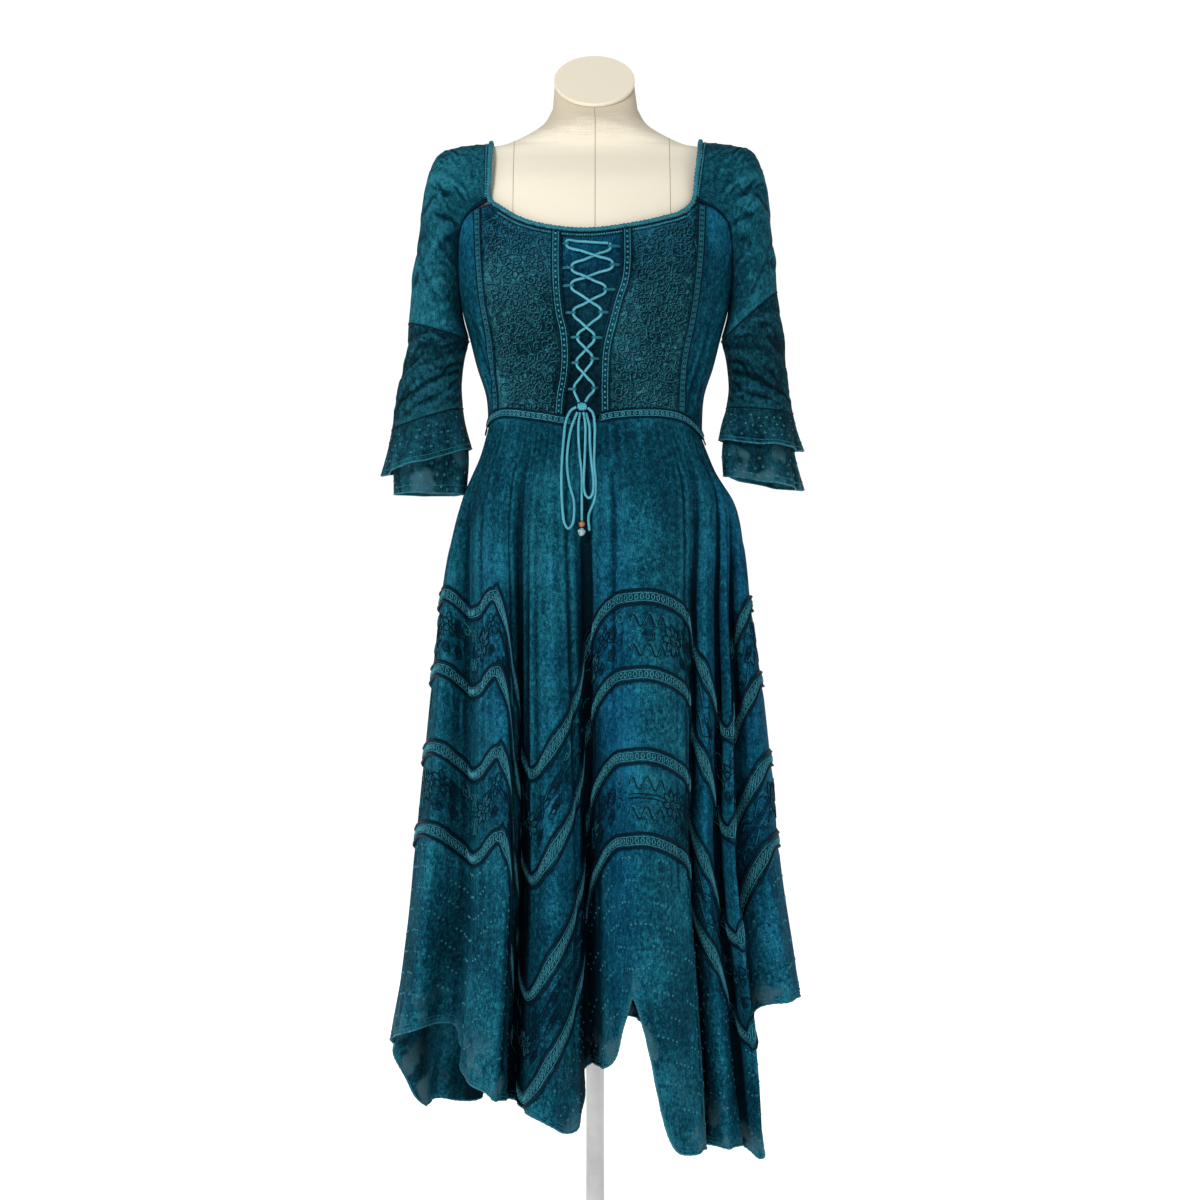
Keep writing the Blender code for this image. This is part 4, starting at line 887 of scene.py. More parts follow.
BASE_PROFILE = [
    (0.0, 0.0), (0.138, 0.0), (0.1396, 0.0008), (0.14, 0.0024), (0.1394, 0.0046), (0.1372, 0.0062),
    (0.133, 0.007), (0.12, 0.0076), (0.08, 0.008), (0.0, 0.008),
]
POLE_PROFILE = [
    (0.0, 0.0083), (0.0124, 0.0083), (0.0125, 0.01), (0.0125, 0.03), (0.0121, 0.0312),
    (0.0113, 0.032), (0.0112, 0.43), (0.0124, 0.431), (0.0125, 0.433), (0.0125, 0.46),
    (0.0122, 0.462), (0.0112, 0.463), (0.0112, 0.84), (0.0125, 0.842), (0.0125, 0.8597),
    (0.0, 0.8597),
]
turned("turned_base", BASE_PROFILE, "stand_base")
turned("turned_pole", POLE_PROFILE, "stand_pole")
print("stand height:", POLE_PROFILE[-1][1])

# %% [markdown]
# ## The skirt's folds
#
# The skirt is one long hanging surface. A table of folds gives, going round, where each fold
# starts at the waist, where it stands out or dips at the hem, how far the tiers drop there
# and how low the hem hangs. Between waist and hem the folds open slowly, as a bell does.

# %% Fold table
# degrees at the waist, x, y, drop of the tiers, z of the hem
FOLDS = [
    (-97, -0.222, 0.02, 0.04, 0.262), (-82, -0.201, -0.075, -0.02, 0.294),
    (-69, -0.155, -0.045, 0.08, 0.297), (-59, -0.139, -0.11, 0.08, 0.252),
    (-49, -0.108, -0.15, 0.0, 0.228), (-40, -0.099, -0.124, 0.36, 0.22),
    (-34, -0.089, -0.074, 0.75, 0.211), (-27, -0.073, -0.116, 0.95, 0.208),
    (-20, -0.048, -0.15, 0.8, 0.196), (-12, -0.021, -0.118, 0.57, 0.184),
    (-4, -0.009, -0.07, 0.28, 0.25), (6, 0.017, -0.125, 0.05, 0.262),
    (17, 0.044, -0.17, 0.0, 0.348), (29, 0.074, -0.168, 0.01, 0.182),
    (39, 0.107, -0.122, 0.09, 0.162), (47, 0.109, -0.079, 0.24, 0.16),
    (55, 0.131, -0.102, 0.44, 0.158), (62, 0.146, -0.062, 0.66, 0.154),
    (69, 0.166, -0.09, 0.72, 0.153), (77, 0.166, -0.044, 0.34, 0.3),
    (86, 0.21, -0.06, 0.06, 0.328), (97, 0.226, 0.03, 0.04, 0.326), (108, 0.196, 0.092, 0.0, 0.33),
    (119, 0.15, 0.078, 0.2, 0.26), (131, 0.138, 0.146, 0.5, 0.205), (143, 0.09, 0.1, 0.88, 0.17),
    (156, 0.064, 0.182, 0.75, 0.25), (169, 0.02, 0.115, 0.3, 0.285),
    (183, -0.024, 0.196, 0.0, 0.275), (198, -0.068, 0.12, 0.15, 0.255),
    (211, -0.104, 0.176, 0.55, 0.195), (224, -0.13, 0.104, 0.9, 0.174),
    (237, -0.172, 0.124, 0.55, 0.17), (250, -0.19, 0.07, 0.2, 0.176),
]
FRONT_COUNT = 21
# z below the waist, left, right, depth
SKIRT_FLARE = [
    (0.12, 1.55, 1.66, 1.3), (0.28, 1.335, 1.43, 1.2), (0.39, 1.18, 1.26, 1.13),
    (0.44, 1.11, 1.17, 1.1), (0.52, 1.02, 1.04, 1.0), (0.62, 0.9, 0.95, 0.84),
    (0.72, 0.79, 0.83, 0.66), (0.82, 0.67, 0.68, 0.46), (0.9, 0.53, 0.58, 0.26),
    (0.96, 0.34, 0.45, 0.12), (1.0, 0.13, 0.18, 0.04), (1.04, 0.0, 0.0, 0.0),
]
SPREAD_HALF_WIDTH, SPREAD_FRONT, SPREAD_BACK = 0.224, 0.15, 0.165
flare_left_at, flare_right_at, flare_depth_at = columns_of(SKIRT_FLARE)


def wrap_folds():
    """Smooth curves for the fold table that join up once round. The key is the row's number."""
    count = len(FOLDS)
    around = list(range(-3, count + 4))
    rows = [FOLDS[i % count] for i in around]
    curves = [through(around, [row[i] for row in rows]) for i in range(1, 5)]
    turns = [math.radians(row[0] + 360 * (i // count)) for row, i in zip(rows, around)]
    return [through(around, turns)] + curves


fold_turn, fold_x, fold_y, fold_drop, fold_hem = wrap_folds()


def skirt_line(place, z):
    """The skirt's cloth at one place of the fold table and one height, with no thickness."""
    turn = fold_turn(place)
    below = z + WAIST_Z - waist_z(turn)
    right = (1 + np.sin(turn)) / 2
    spread = flare_left_at(below) * (1 - right) + flare_right_at(below) * right
    depth = flare_depth_at(below)
    half_width = half_width_at(WAIST_Z)
    waist_depth = np.where(np.cos(turn) > 0, front_at(WAIST_Z), back_at(WAIST_Z))
    wide = np.where(np.cos(turn) > 0, SPREAD_FRONT, SPREAD_BACK)
    smooth_x, smooth_y = SPREAD_HALF_WIDTH * np.sin(turn), -wide * np.cos(turn)
    x = half_width * np.sin(turn) * (1 - spread) + smooth_x * spread
    y = -waist_depth * np.cos(turn) * (1 - spread) + smooth_y * spread
    x, y = x + (fold_x(place) - smooth_x) * depth, y + (fold_y(place) - smooth_y) * depth
    return rows_of(x, y, z)


def outward(place, z):
    """The direction out of the cloth, level with the floor."""
    side = skirt_line(place + 0.16, z) - skirt_line(place - 0.16, z)
    return unit(rows_of(side[..., 1], -side[..., 0], 0.0 * side[..., 0]))


def lap_length(z):
    """Metres gone round the skirt at each place, as two lists for np.interp."""
    places = np.linspace(-1.0, len(FOLDS) + 1.0, 2400)
    gone = gone_along(skirt_line(places, z + 0.0 * places))
    return places, gone - np.interp(0.0, places, gone)


LAP_PLACES, LAP_GONE = lap_length(0.6)
HALF_LAP, LAP = (float(np.interp(at, LAP_PLACES, LAP_GONE)) for at in (FRONT_COUNT, len(FOLDS)))
print("once round the skirt at knee height:", round(LAP, 3), "m")

# %% [markdown]
# ## Small creases of the skirt
#
# Below the waist and below each trim the cloth is eased into a shorter edge, so it puckers
# there and smooths out lower down. Long soft troughs run down some folds as well. They are
# rows of metres round the skirt, height, width and rise, on the hidden back as in front.

# %% Skirt creases
# peak z of each trim, how far it dips with the drop
TRIM_LEVELS = [
    (0.8237, 0.225), (0.7312, 0.2625), (0.6337, 0.306), (0.5337, 0.33),
]
TRIM_NAMES = ["first", "second", "third", "fourth"]
TIER_NAMES = ["upper", "second", "third", "fourth", "bottom"]


def make_skirt_creases():
    """Long soft troughs and ridges: a fixed list drawn once with a seeded hand."""
    hand = random.Random(41)
    rows = []
    at = 0.01
    while at < LAP:
        top = hand.uniform(0.8, 1.0)
        low = hand.uniform(0.28, 0.62)
        drift = hand.uniform(-0.016, 0.016)
        width = hand.uniform(0.0035, 0.0085)
        height = hand.choice((-1, 1)) * hand.uniform(0.0008, 0.0022)
        rows.append((at, top, at + drift, low, width, height))
        at += hand.uniform(0.016, 0.04)
    return rows


# place in the fold table, start z, end z, width, height
FOLD_CREASES = [
    (1.95, 0.9, 0.3, 0.006, -0.003), (3.2, 0.93, 0.4, 0.005, -0.003),
    (5.1, 0.98, 0.26, 0.005, -0.005), (6.0, 0.99, 0.23, 0.008, -0.007),
    (7.0, 0.97, 0.5, 0.006, 0.003), (8.9, 0.96, 0.24, 0.006, -0.0035),
    (10.0, 1.0, 0.28, 0.009, -0.007), (11.1, 0.97, 0.36, 0.005, -0.003),
    (12.5, 0.72, 0.38, 0.007, -0.002), (14.1, 0.98, 0.2, 0.005, -0.006),
    (15.1, 0.99, 0.18, 0.008, -0.007), (17.1, 0.98, 0.17, 0.006, -0.007),
    (18.2, 0.95, 0.3, 0.005, -0.003), (19.1, 0.98, 0.32, 0.007, -0.007),
    (23.1, 0.98, 0.3, 0.008, -0.006), (25.1, 0.98, 0.2, 0.008, -0.007),
    (27.1, 0.98, 0.3, 0.008, -0.007), (29.0, 0.98, 0.28, 0.008, -0.006),
    (31.1, 0.98, 0.2, 0.008, -0.007), (33.1, 0.96, 0.22, 0.007, -0.006),
]
SKIRT_CREASES = make_skirt_creases()
for place, start, end, width, height in FOLD_CREASES:
    gone = float(np.interp(place, LAP_PLACES, LAP_GONE))
    SKIRT_CREASES.append((gone, start, gone, end, width, height))


def trim_z(level, place):
    peak, dip = TRIM_LEVELS[level]
    return peak - dip * fold_drop(place)


def pucker(gone, below, reach, pitch):
    """Small gathers that start at a seam and die out below it."""
    ease = np.exp(-((below / reach) ** 2)) * (below > 0)
    turn = 2 * math.pi * gone / pitch
    wave = np.sin(turn + 1.3 * np.sin(gone * 37.0)) + 0.5 * np.sin(turn / 0.63 + 2.0)
    return ease * wave * smooth_step(below, 0.0, 0.012)


def skirt_ripple(place, z):
    """How far small creases move the skirt's cloth out at each point."""
    gone = np.interp(place, LAP_PLACES, LAP_GONE)
    waist = waist_z(fold_turn(place))
    moved = crease_field(gone, z, SKIRT_CREASES) * smooth_step(waist - z, 0.01, 0.1)
    gathers = 0.0005 * pucker(gone, waist - 0.006 - z, 0.08, 0.023)
    moved = moved + gathers * smooth_step(waist - z, 0.0, 0.03)
    for level in range(len(TRIM_LEVELS)):
        below = trim_z(level, place) - 0.012 - z
        moved = moved + 0.0007 * pucker(gone, below, 0.045, 0.017)
    rise = z - fold_hem(place)
    flutter = np.sin(gone * 2 * math.pi / 0.071 + 1.7 * np.sin(gone * 9.0))
    flutter = flutter + 0.6 * np.sin(gone * 2 * math.pi / 0.031)
    return moved + 0.0028 * flutter * smooth_step(0.085 - rise, 0.0, 0.085)


def skirt_point(place, z, out=0.0):
    place, z = np.broadcast_arrays(np.asarray(place, float), np.asarray(z, float))
    moved = out + skirt_ripple(place, z)
    return skirt_line(place, z) + outward(place, z) * np.expand_dims(moved, -1)


def steepness(level, place):
    a, b = skirt_line(place - 0.25, 0.6 + 0.0 * place), skirt_line(place + 0.25, 0.6 + 0.0 * place)
    rise = trim_z(level, place + 0.25) - trim_z(level, place - 0.25)
    return np.sqrt(1 + (rise / np.maximum(np.linalg.norm(b - a, axis=-1), 0.01)) ** 2)


def trim_reach(level, place):
    return SKIRT_TRIM_HALF * np.minimum(steepness(level, place), 2.2)


def skirt_fold_shade(place, z):
    """Painted shade, 0 on a ridge and 1 deep in a fold: how far the cloth lies behind the folds
    beside it.
    """
    def reach(at):
        spot = skirt_line(at, z)
        wide = np.where(spot[..., 1] < 0, 0.72, 0.8)
        return np.hypot(spot[..., 0] * wide, spot[..., 1])

    here = reach(place)
    around = [reach(place + step) for step in (-2.0, -1.5, -1.0, -0.5, 0.5, 1.0, 1.5, 2.0)]
    before, after = np.maximum.reduce(around[:4]), np.maximum.reduce(around[4:])
    found = smooth_step(np.minimum(before, after) - here, 0.006, 0.044)
    found = found * (1 - 0.8 * np.exp(-(((place - 1.6) / 2.2) ** 2)))
    gone = np.interp(place, LAP_PLACES, LAP_GONE)
    # painted shade: a dark line down each deep valley crease
    for at, start, end, width, height in FOLD_CREASES:
        if height < -0.004:
            line = np.interp(at, LAP_PLACES, LAP_GONE)
            ease = smooth_step(start - z, 0.0, 0.25) * (z > end - 0.08)
            found = np.maximum(found, 0.75 * ease * np.exp(-(((gone - line) / (1.3 * width)) ** 2)))
    return found


print("skirt creases:", len(SKIRT_CREASES))

# %% [markdown]
# ## Five tiers
#
# The skirt is pieced from five tiers, each a front and a back. A tier's top and bottom follow
# the trims that cover its seams, so the tier is a grid whose rows are spread between two
# wavy lines.

# %% Lay the tiers
TIER_FINISH = ["skirt", "flowered", "plain", "flowered", "bottom"]
COLUMNS_PER_FOLD = {"front": 13, "back": 9}
TIER_ROWS = [40, 17, 17, 17, 32]
TIER_HALF_GAP = 0.0009
TIER_EDGE = 0.004
RUBBED_REACH = 0.016


def tier_span(index, place):
    """The heights at which a tier's cloth starts and ends."""
    if index == 0:
        top = waist_z(fold_turn(place)) - WAIST_GAP / 2
    else:
        top = trim_z(index - 1, place) - TIER_HALF_GAP
    if index == len(TRIM_LEVELS):
        bottom = fold_hem(place)
    else:
        bottom = trim_z(index, place) + TIER_HALF_GAP
    return top, bottom


def tier_wear(index, place, z):
    """Where the wash has rubbed the cloth paler: along its seams and its hem."""
    top, bottom = tier_span(index, place)
    low, high = (z - bottom) / RUBBED_REACH, (top - z) / RUBBED_REACH
    return np.exp(-(low**2)) * 0.5 + np.exp(-(high**2)) * 0.35


# place, z, how wide in places, how high, how blue
BLUE_SPOTS = [
    (10.9, 0.66, 0.9, 0.3, 0.75), (11.6, 0.55, 0.6, 0.25, 0.65), (4.0, 0.74, 1.0, 0.2, 0.45),
    (8.0, 0.55, 1.2, 0.22, 0.35), (16.5, 0.62, 1.6, 0.3, 0.65), (19.8, 0.7, 1.5, 0.35, 0.75),
    (18.4, 0.92, 1.5, 0.12, 0.6), (25.0, 0.6, 1.5, 0.3, 0.5), (30.0, 0.7, 1.5, 0.3, 0.5),
]


def tier_tint(place, z):
    """Where the dye took bluer: soft spots round the skirt."""
    blue = 0.0 * place
    for at, height, wide, tall, amount in BLUE_SPOTS:
        blue = blue + amount * np.exp(-(((place - at) / wide) ** 2) - ((z - height) / tall) ** 2)
    return np.clip(blue, 0.0, 0.9)


def lay_tier(index, half):
    first, last = (0, FRONT_COUNT) if half == "front" else (FRONT_COUNT, len(FOLDS))

    def spot(across, down):
        place = first + TIER_EDGE + across * (last - first - 2 * TIER_EDGE)
        top, bottom = tier_span(index, place)
        return place, top + (bottom - top) * down

    def point(across, down, out):
        return skirt_point(*spot(across, down), out)

    def flat(across, down):
        place, z = spot(across, down)
        return np.interp(place, LAP_PLACES, LAP_GONE), z

    lay_sheet(
        f"skirt_{TIER_NAMES[index]}_{half}",
        point,
        COLUMNS_PER_FOLD[half] * (last - first),
        TIER_ROWS[index],
        TIER_FINISH[index],
        flat=flat,
        # painted shade deep in the skirt's folds
        hollow=lambda across, down: skirt_fold_shade(*spot(across, down)),
        wear=lambda across, down: tier_wear(index, *spot(across, down)),
        tint=lambda across, down: tier_tint(*spot(across, down)),
        sheer=(lambda across, down: smooth_step(down, 0.72, 0.98)) if index == 4 else None,
        rests_on=[f"skirt_{TIER_NAMES[index - 1]}_{half}_cloth" if index else "linen_torso"],
    )


for index in range(len(TIER_NAMES)):
    for half in ("front", "back"):
        lay_tier(index, half)
print("tiers laid:", cuts)

# %% [markdown]
# ## Ladder trims
#
# Each tier seam is covered by a ladder trim: a narrow band with a row of oval links worked
# between two pale cords, and a raised piping along both edges, coloured near black so that it
# also paints in the shade along the trim's edges. The band is a sheet. The cords and links are
# threads that lie on it, one oval every seven millimetres.

# %% Lay the ladder trims
LINK_PITCH = 0.0068
LINK_HEIGHT = 0.0035
LINK_WIDTH = 0.0021
CORD_REACH = 0.0048
PIPING_REACH = 0.0086
OVAL = np.linspace(0.0, 2 * math.pi, 7)[:-1]


def band_point(level, place, down, out):
    """A point of a trim: down runs from -1 at its upper edge to 1 at its lower edge."""
    z = trim_z(level, place) - down * trim_reach(level, place)
    return skirt_point(place, z, out)


def lay_skirt_trim(level):
    name = TRIM_NAMES[level]

    once = len(FOLDS)

    # painted shade on the trim where it lies deep in a fold
    def hollow(across, down):
        return skirt_fold_shade(across * once, trim_z(level, across * once)) * 0.9

    lay_sheet(
        f"skirt_trim_{name}",
        lambda across, down, out: band_point(level, across * once, 2 * down - 1, out),
        10 * once, 4, "trim", seat=SKIRT_TRIM_SEAT, wall=SKIRT_TRIM_WALL, ring=True,
        flat=lambda across, down: (np.interp(across * once, LAP_PLACES, LAP_GONE), down * 0.02),
        hollow=hollow, held="stretched", slot="trim_teal",
    )
    places = np.linspace(0.0, once, 10 * once + 1)[:-1]
    on_top = SKIRT_TRIM_SEAT + SKIRT_TRIM_WALL
    threads = []
    # the piping is a real cord whose near-black colour also paints the shade beside the raised trim
    for reach, radius, tone in ((CORD_REACH, 0.00036, 0), (PIPING_REACH, 0.0017, 1)):
        for side in (-1, 1):
            down = side * reach / SKIRT_TRIM_HALF
            threads.append(Thread(band_point(level, places, down, on_top), radius, tone, True))
    fine = np.linspace(0, once, 3000)
    middle = band_point(level, fine, 0.0, on_top)
    gone = gone_along(middle)
    count = int(gone[-1] / LINK_PITCH)
    at = np.interp(np.arange(count) * gone[-1] / count, gone, fine)
    step = np.interp(at, fine, np.gradient(fine, gone))
    ring_place = at[:, None] + LINK_WIDTH * step[:, None] * np.cos(OVAL)
    ring_down = LINK_HEIGHT / SKIRT_TRIM_HALF * np.sin(OVAL) + 0.0 * ring_place
    links = band_point(level, ring_place, ring_down, on_top + 0.0003)
    threads += [Thread(link, 0.00044, 0, True) for link in links]
    ladder = sew_threads(f"ladder_{name}", threads, ["pale thread", "dark thread"])
    finish_piece(ladder, [])
    return count


print("links in each trim:", [lay_skirt_trim(level) for level in range(len(TRIM_LEVELS))])

# %% [markdown]
# ## Bodice panels
#
# The bodice is cut in panels: two embroidered fronts beside the lacing, a dark inset behind
# it, two smooth sides and a plain back. Every panel is the part of the body's surface between
# two lines, from the waist seam up to the neckline or the sleeve seam.

# %% Bodice lines
PRINCESS_LEFT = [
    (1.04, -0.1205), (1.082, -0.1225), (1.134, -0.127), (1.185, -0.136), (1.238, -0.141),
    (1.31, -0.144),
]
PRINCESS_RIGHT = [
    (1.04, 0.104), (1.082, 0.105), (1.117, 0.108), (1.168, 0.118), (1.238, 0.1265), (1.31, 0.13),
]
LACING_LEFT = [
    (1.04, -0.0377), (1.069, -0.0353), (1.09, -0.0314), (1.12, -0.0295), (1.148, -0.032),
    (1.163, -0.0357), (1.197, -0.0396), (1.28, -0.0405),
]
LACING_RIGHT = [
    (1.04, 0.0053), (1.09, 0.0053), (1.12, 0.0068), (1.136, 0.0097), (1.158, 0.0155),
    (1.182, 0.0217), (1.209, 0.03), (1.28, 0.032),
]
NECKLINE = [
    (-0.146, 1.3075), (-0.13, 1.3125), (-0.123, 1.3075), (-0.114, 1.299), (-0.091, 1.284),
    (-0.057, 1.273), (-0.009, 1.268), (0.039, 1.274), (0.08, 1.284), (0.1105, 1.297),
    (0.118, 1.306), (0.123, 1.3115), (0.14, 1.3085),
]
# degrees from the front, z of the panel's top
SIDE_TOP = [
    (44, 1.308), (54, 1.3035), (62, 1.297), (73, 1.275), (79, 1.23), (84, 1.179), (90, 1.14),
    (96, 1.179), (101, 1.23), (107, 1.275), (118, 1.297), (131, 1.3055), (139, 1.302),
    (158, 1.288), (180, 1.285),
]
SIDE_SEAM_DEG = 88
RAGLAN_GAP, PRINCESS_GAP, NECK_EDGE = 0.0014, 0.001, 0.0032
(neck_at,), (side_top_at,) = columns_of(NECKLINE), columns_of(SIDE_TOP)


def neck_edge(x):
    slope = (neck_at(x + 0.002) - neck_at(x - 0.002)) / 0.004
    return neck_at(x) - NECK_EDGE * np.sqrt(1 + slope * slope)


def front_top(x):
    raglan = side_top_at(np.degrees(np.abs(turn_at(x, 1.29)))) - RAGLAN_GAP
    return np.minimum(neck_edge(x), raglan)


def panel_between(left_line, right_line, top_of, inset=SEAM_GAP / 2, creased=True):
    (left_x,), (right_x,) = columns_of(left_line), columns_of(right_line)

    def point(across, up, out):
        z = WAIST_Z + 0.0 * across
        for _ in range(4):
            x = (left_x(z) + inset) * (1 - across) + (right_x(z) - inset) * across
            bottom = waist_z(turn_at(x, WAIST_Z)) + WAIST_GAP / 2
            z = bottom + (top_of(x) - bottom) * up
        return on_front(x, z, out, creased)

    return point


def side_panel(sign, line):
    (princess_x,) = columns_of(line)
    seam = math.radians(SIDE_SEAM_DEG)

    def point(across, up, out):
        z = WAIST_Z + 0.0 * across
        for _ in range(5):
            start = np.abs(turn_at(princess_x(z), z)) + PRINCESS_GAP / half_width_at(z)
            turn = start + (seam - 0.001 - start) * across
            bottom = waist_z(sign * turn) + WAIST_GAP / 2
            z = bottom + (side_top_at(np.degrees(turn)) - RAGLAN_GAP - bottom) * up
        return body_point(sign * turn, z, out)

    return point


def back_panel(across, up, out):
    turn = math.radians(SIDE_SEAM_DEG) + 0.001
    turn = turn + (2 * math.pi - 2 * turn) * across
    degrees = np.degrees(turn)
    bottom = waist_z(turn) + WAIST_GAP / 2
    z = bottom + (side_top_at(np.minimum(degrees, 360 - degrees)) - RAGLAN_GAP - bottom) * up
    return body_point(turn, z, out)


print("bodice lines ready")

# %% Lay the bodice
INSET_OVERLAP, INSET_DEPTH = 0.011, 0.004


def lay_bodice():
    held = {
        "held": "stretched",
        "rests_on": ["linen_torso"],
        "wear": lambda across, up: 0.9 * smooth_step(up, 0.72, 1.0) - 0.25,
        "tint": lambda across, up: 0.6 * smooth_step(up, 0.62, 0.95),
    }
    for side, low, high in (
        ("left", PRINCESS_LEFT, LACING_LEFT),
        ("right", LACING_RIGHT, PRINCESS_RIGHT),
    ):
        front = panel_between(low, high, front_top)
        lay_sheet(f"bodice_front_{side}", front, 44, 90, "bodice", **held)
    inset_left = [(z, x - INSET_OVERLAP) for z, x in LACING_LEFT]
    inset_right = [(z, x + INSET_OVERLAP) for z, x in LACING_RIGHT]
    inset = panel_between(inset_left, inset_right, neck_edge, creased=False)
    lay_sheet(
        "bodice_inset", inset, 30, 80, "dark", seat=-INSET_DEPTH, slot="rayon_dark", **held
    )
    lay_sheet("bodice_side_left", side_panel(-1, PRINCESS_LEFT), 44, 72, "side", **held)
    lay_sheet("bodice_side_right", side_panel(1, PRINCESS_RIGHT), 44, 72, "side", **held)
    lay_sheet("bodice_back", back_panel, 64, 46, "plain", **held)


lay_bodice()
print("bodice cuts:", {name: size for name, size in cuts.items() if name.startswith("bodice")})

# %% [markdown]
# ## Bodice trims
#
# A narrower trim follows the princess seams, the lacing edges and the waist: two fine cords
# with a column of small links between them.

# %% Lay the bodice trims
BODICE_LINK_PITCH = 0.0068


def trim_point(line, top_of, side):
    """A point of a trim along a line: across runs 0 to 1 over its width, up from the waist."""
    (line_x,) = columns_of(line)

    def point(across, up, out):
        shift = side * (BODICE_TRIM_WIDTH / 2 + 0.0004) + (across - 0.5) * BODICE_TRIM_WIDTH
        z = WAIST_Z + 0.0 * across
        for _ in range(5):
            turn = turn_at(line_x(z), z)
            half_width, depth = half_width_at(z), front_at(z)
            turn = turn + shift / np.hypot(half_width * np.cos(turn), depth * np.sin(turn))
            low = waist_z(turn) + BODICE_TRIM_WIDTH / 2 + 0.0008
            z = low + (top_of(half_width * np.sin(turn)) - 0.001 - low) * up
        return body_point(turn, z, out)

    return point


def waist_trim_point(first, last):
    first, last = math.radians(first), math.radians(last)
    places = np.linspace(-1.0, FRONT_COUNT + 3.0, 900)
    turns = fold_turn(places)

    def point(across, down, out):
        turn = first + (last - first) * down
        z = waist_z(turn) + (0.5 - across) * BODICE_TRIM_WIDTH
        above = body_point(turn, z, out)
        below = skirt_point(np.interp(turn, turns, places), z, out)
        share = np.expand_dims(smooth_step(z - waist_z(turn), -0.0008, 0.0008), -1)
        return above * share + below * (1 - share)

    return point


def lay_bodice_trim(node, point, finish, link_height, link_width):
    """The band, its cords and its links. point(across, along, out) runs along the trim."""
    lay_sheet(
        node, point, 4, 90, "trim", seat=BODICE_TRIM_SEAT, wall=BODICE_TRIM_WALL,
        held="stretched", slot="trim_teal",
    )
    on_top = BODICE_TRIM_SEAT + BODICE_TRIM_WALL
    along = np.linspace(0.0, 1.0, 160)
    threads = []
    for reach, radius, tone in ((0.0032, 0.00042, 0), (0.0054, 0.00085, 2)):
        for side in (-1, 1):
            path = point(0.5 + side * reach / BODICE_TRIM_WIDTH + 0.0 * along, along, on_top)
            threads.append(Thread(path, radius, tone, False))
    middle = point(0.5 + 0.0 * along, along, on_top)
    gone = gone_along(middle)
    count = int(gone[-1] / BODICE_LINK_PITCH)
    at = (np.arange(count) + 0.5) / count
    ring_up = at[:, None] + link_height / gone[-1] * np.sin(OVAL)
    ring_across = 0.5 + link_width / BODICE_TRIM_WIDTH * np.cos(OVAL) + 0.0 * ring_up
    links = point(ring_across, ring_up, on_top + 0.0003)
    beaded = node.startswith("lacing")
    if not beaded:
        threads += [Thread(link, 0.00052, 0, True) for link in links]
    dashes_up = at[:, None] + 0.001 / gone[-1] * np.array([-1.0, 0.0, 1.0])
    dashes = point(0.5 + 0.0 * dashes_up, dashes_up, on_top + 0.0004)
    radius, dash_tone = (0.00125, 0) if beaded else (0.0005, 1)
    threads += [Thread(dash, radius, dash_tone, False) for dash in dashes]
    chain = sew_threads(f"{node}_chain", threads, [finish, "soft thread", "dark thread"])
    finish_piece(chain, [])
    return count


def lay_bodice_trims():
    counts = []
    for side, sign, princess, lacing, waist in (
        ("left", -1, PRINCESS_LEFT, LACING_LEFT, (-SIDE_SEAM_DEG, -12.4)),
        ("right", 1, PRINCESS_RIGHT, LACING_RIGHT, (3.0, SIDE_SEAM_DEG)),
    ):
        for name, point, finish, height, width in (
            ("princess", trim_point(princess, front_top, 0), "soft thread", 0.0022, 0.002),
            ("lacing", trim_point(lacing, neck_edge, sign), "pale thread", 0.0018, 0.0021),
            ("waist", waist_trim_point(*waist), "pale thread", 0.0023, 0.0019),
        ):
            counts.append(lay_bodice_trim(f"{name}_trim_{side}", point, finish, height, width))
    return counts


print("links in each bodice trim:", lay_bodice_trims())

# %% [markdown]
# ## Sleeves and flounces
#
# A raglan sleeve hangs from the neckline to the elbow, where a V seam joins a straighter
# lower sleeve. Two flounces, one over the other, end it. A sleeve is an oval that changes
# from row to row of its table; it is open against the body at the top and closed lower down.

# %% Sleeve tables
# seam x, seam z, seam y, outer x, outer z, depth, closed
SLEEVE_LEFT = [
    (-0.1325, 1.311, 0.064, -0.1325, 1.388, 0.0, 0.0),
    (-0.155, 1.298, 0.048, -0.17, 1.384, 0.014, 0.0),
    (-0.1685, 1.276, 0.0322, -0.197, 1.372, 0.028, 0.15),
    (-0.171, 1.231, 0.0236, -0.21, 1.333, 0.038, 0.35),
    (-0.168, 1.18, 0.0133, -0.222, 1.26, 0.044, 0.65),
    (-0.159, 1.144, 0.002, -0.232, 1.165, 0.048, 1.0),
]
SLEEVE_RIGHT = [
    (0.1225, 1.311, 0.0695, 0.1345, 1.39, 0.0, 0.0),
    (0.1535, 1.298, 0.0495, 0.172, 1.386, 0.014, 0.0),
    (0.1685, 1.276, 0.0322, 0.198, 1.376, 0.028, 0.15),
    (0.171, 1.231, 0.0236, 0.212, 1.335, 0.038, 0.35),
    (0.168, 1.18, 0.0133, 0.221, 1.27, 0.044, 0.65),
    (0.159, 1.144, 0.002, 0.226, 1.205, 0.048, 1.0),
]
LOWER_LEFT = [
    (-0.159, 1.1432, 0.002, -0.232, 1.1642, 0.048, 1.0),
    (-0.165, 1.118, 0.002, -0.235, 1.124, 0.05, 1.0),
    (-0.168, 1.088, 0.002, -0.246, 1.08, 0.05, 1.0),
    (-0.1665, 1.06, 0.002, -0.253, 1.032, 0.048, 1.0),
]
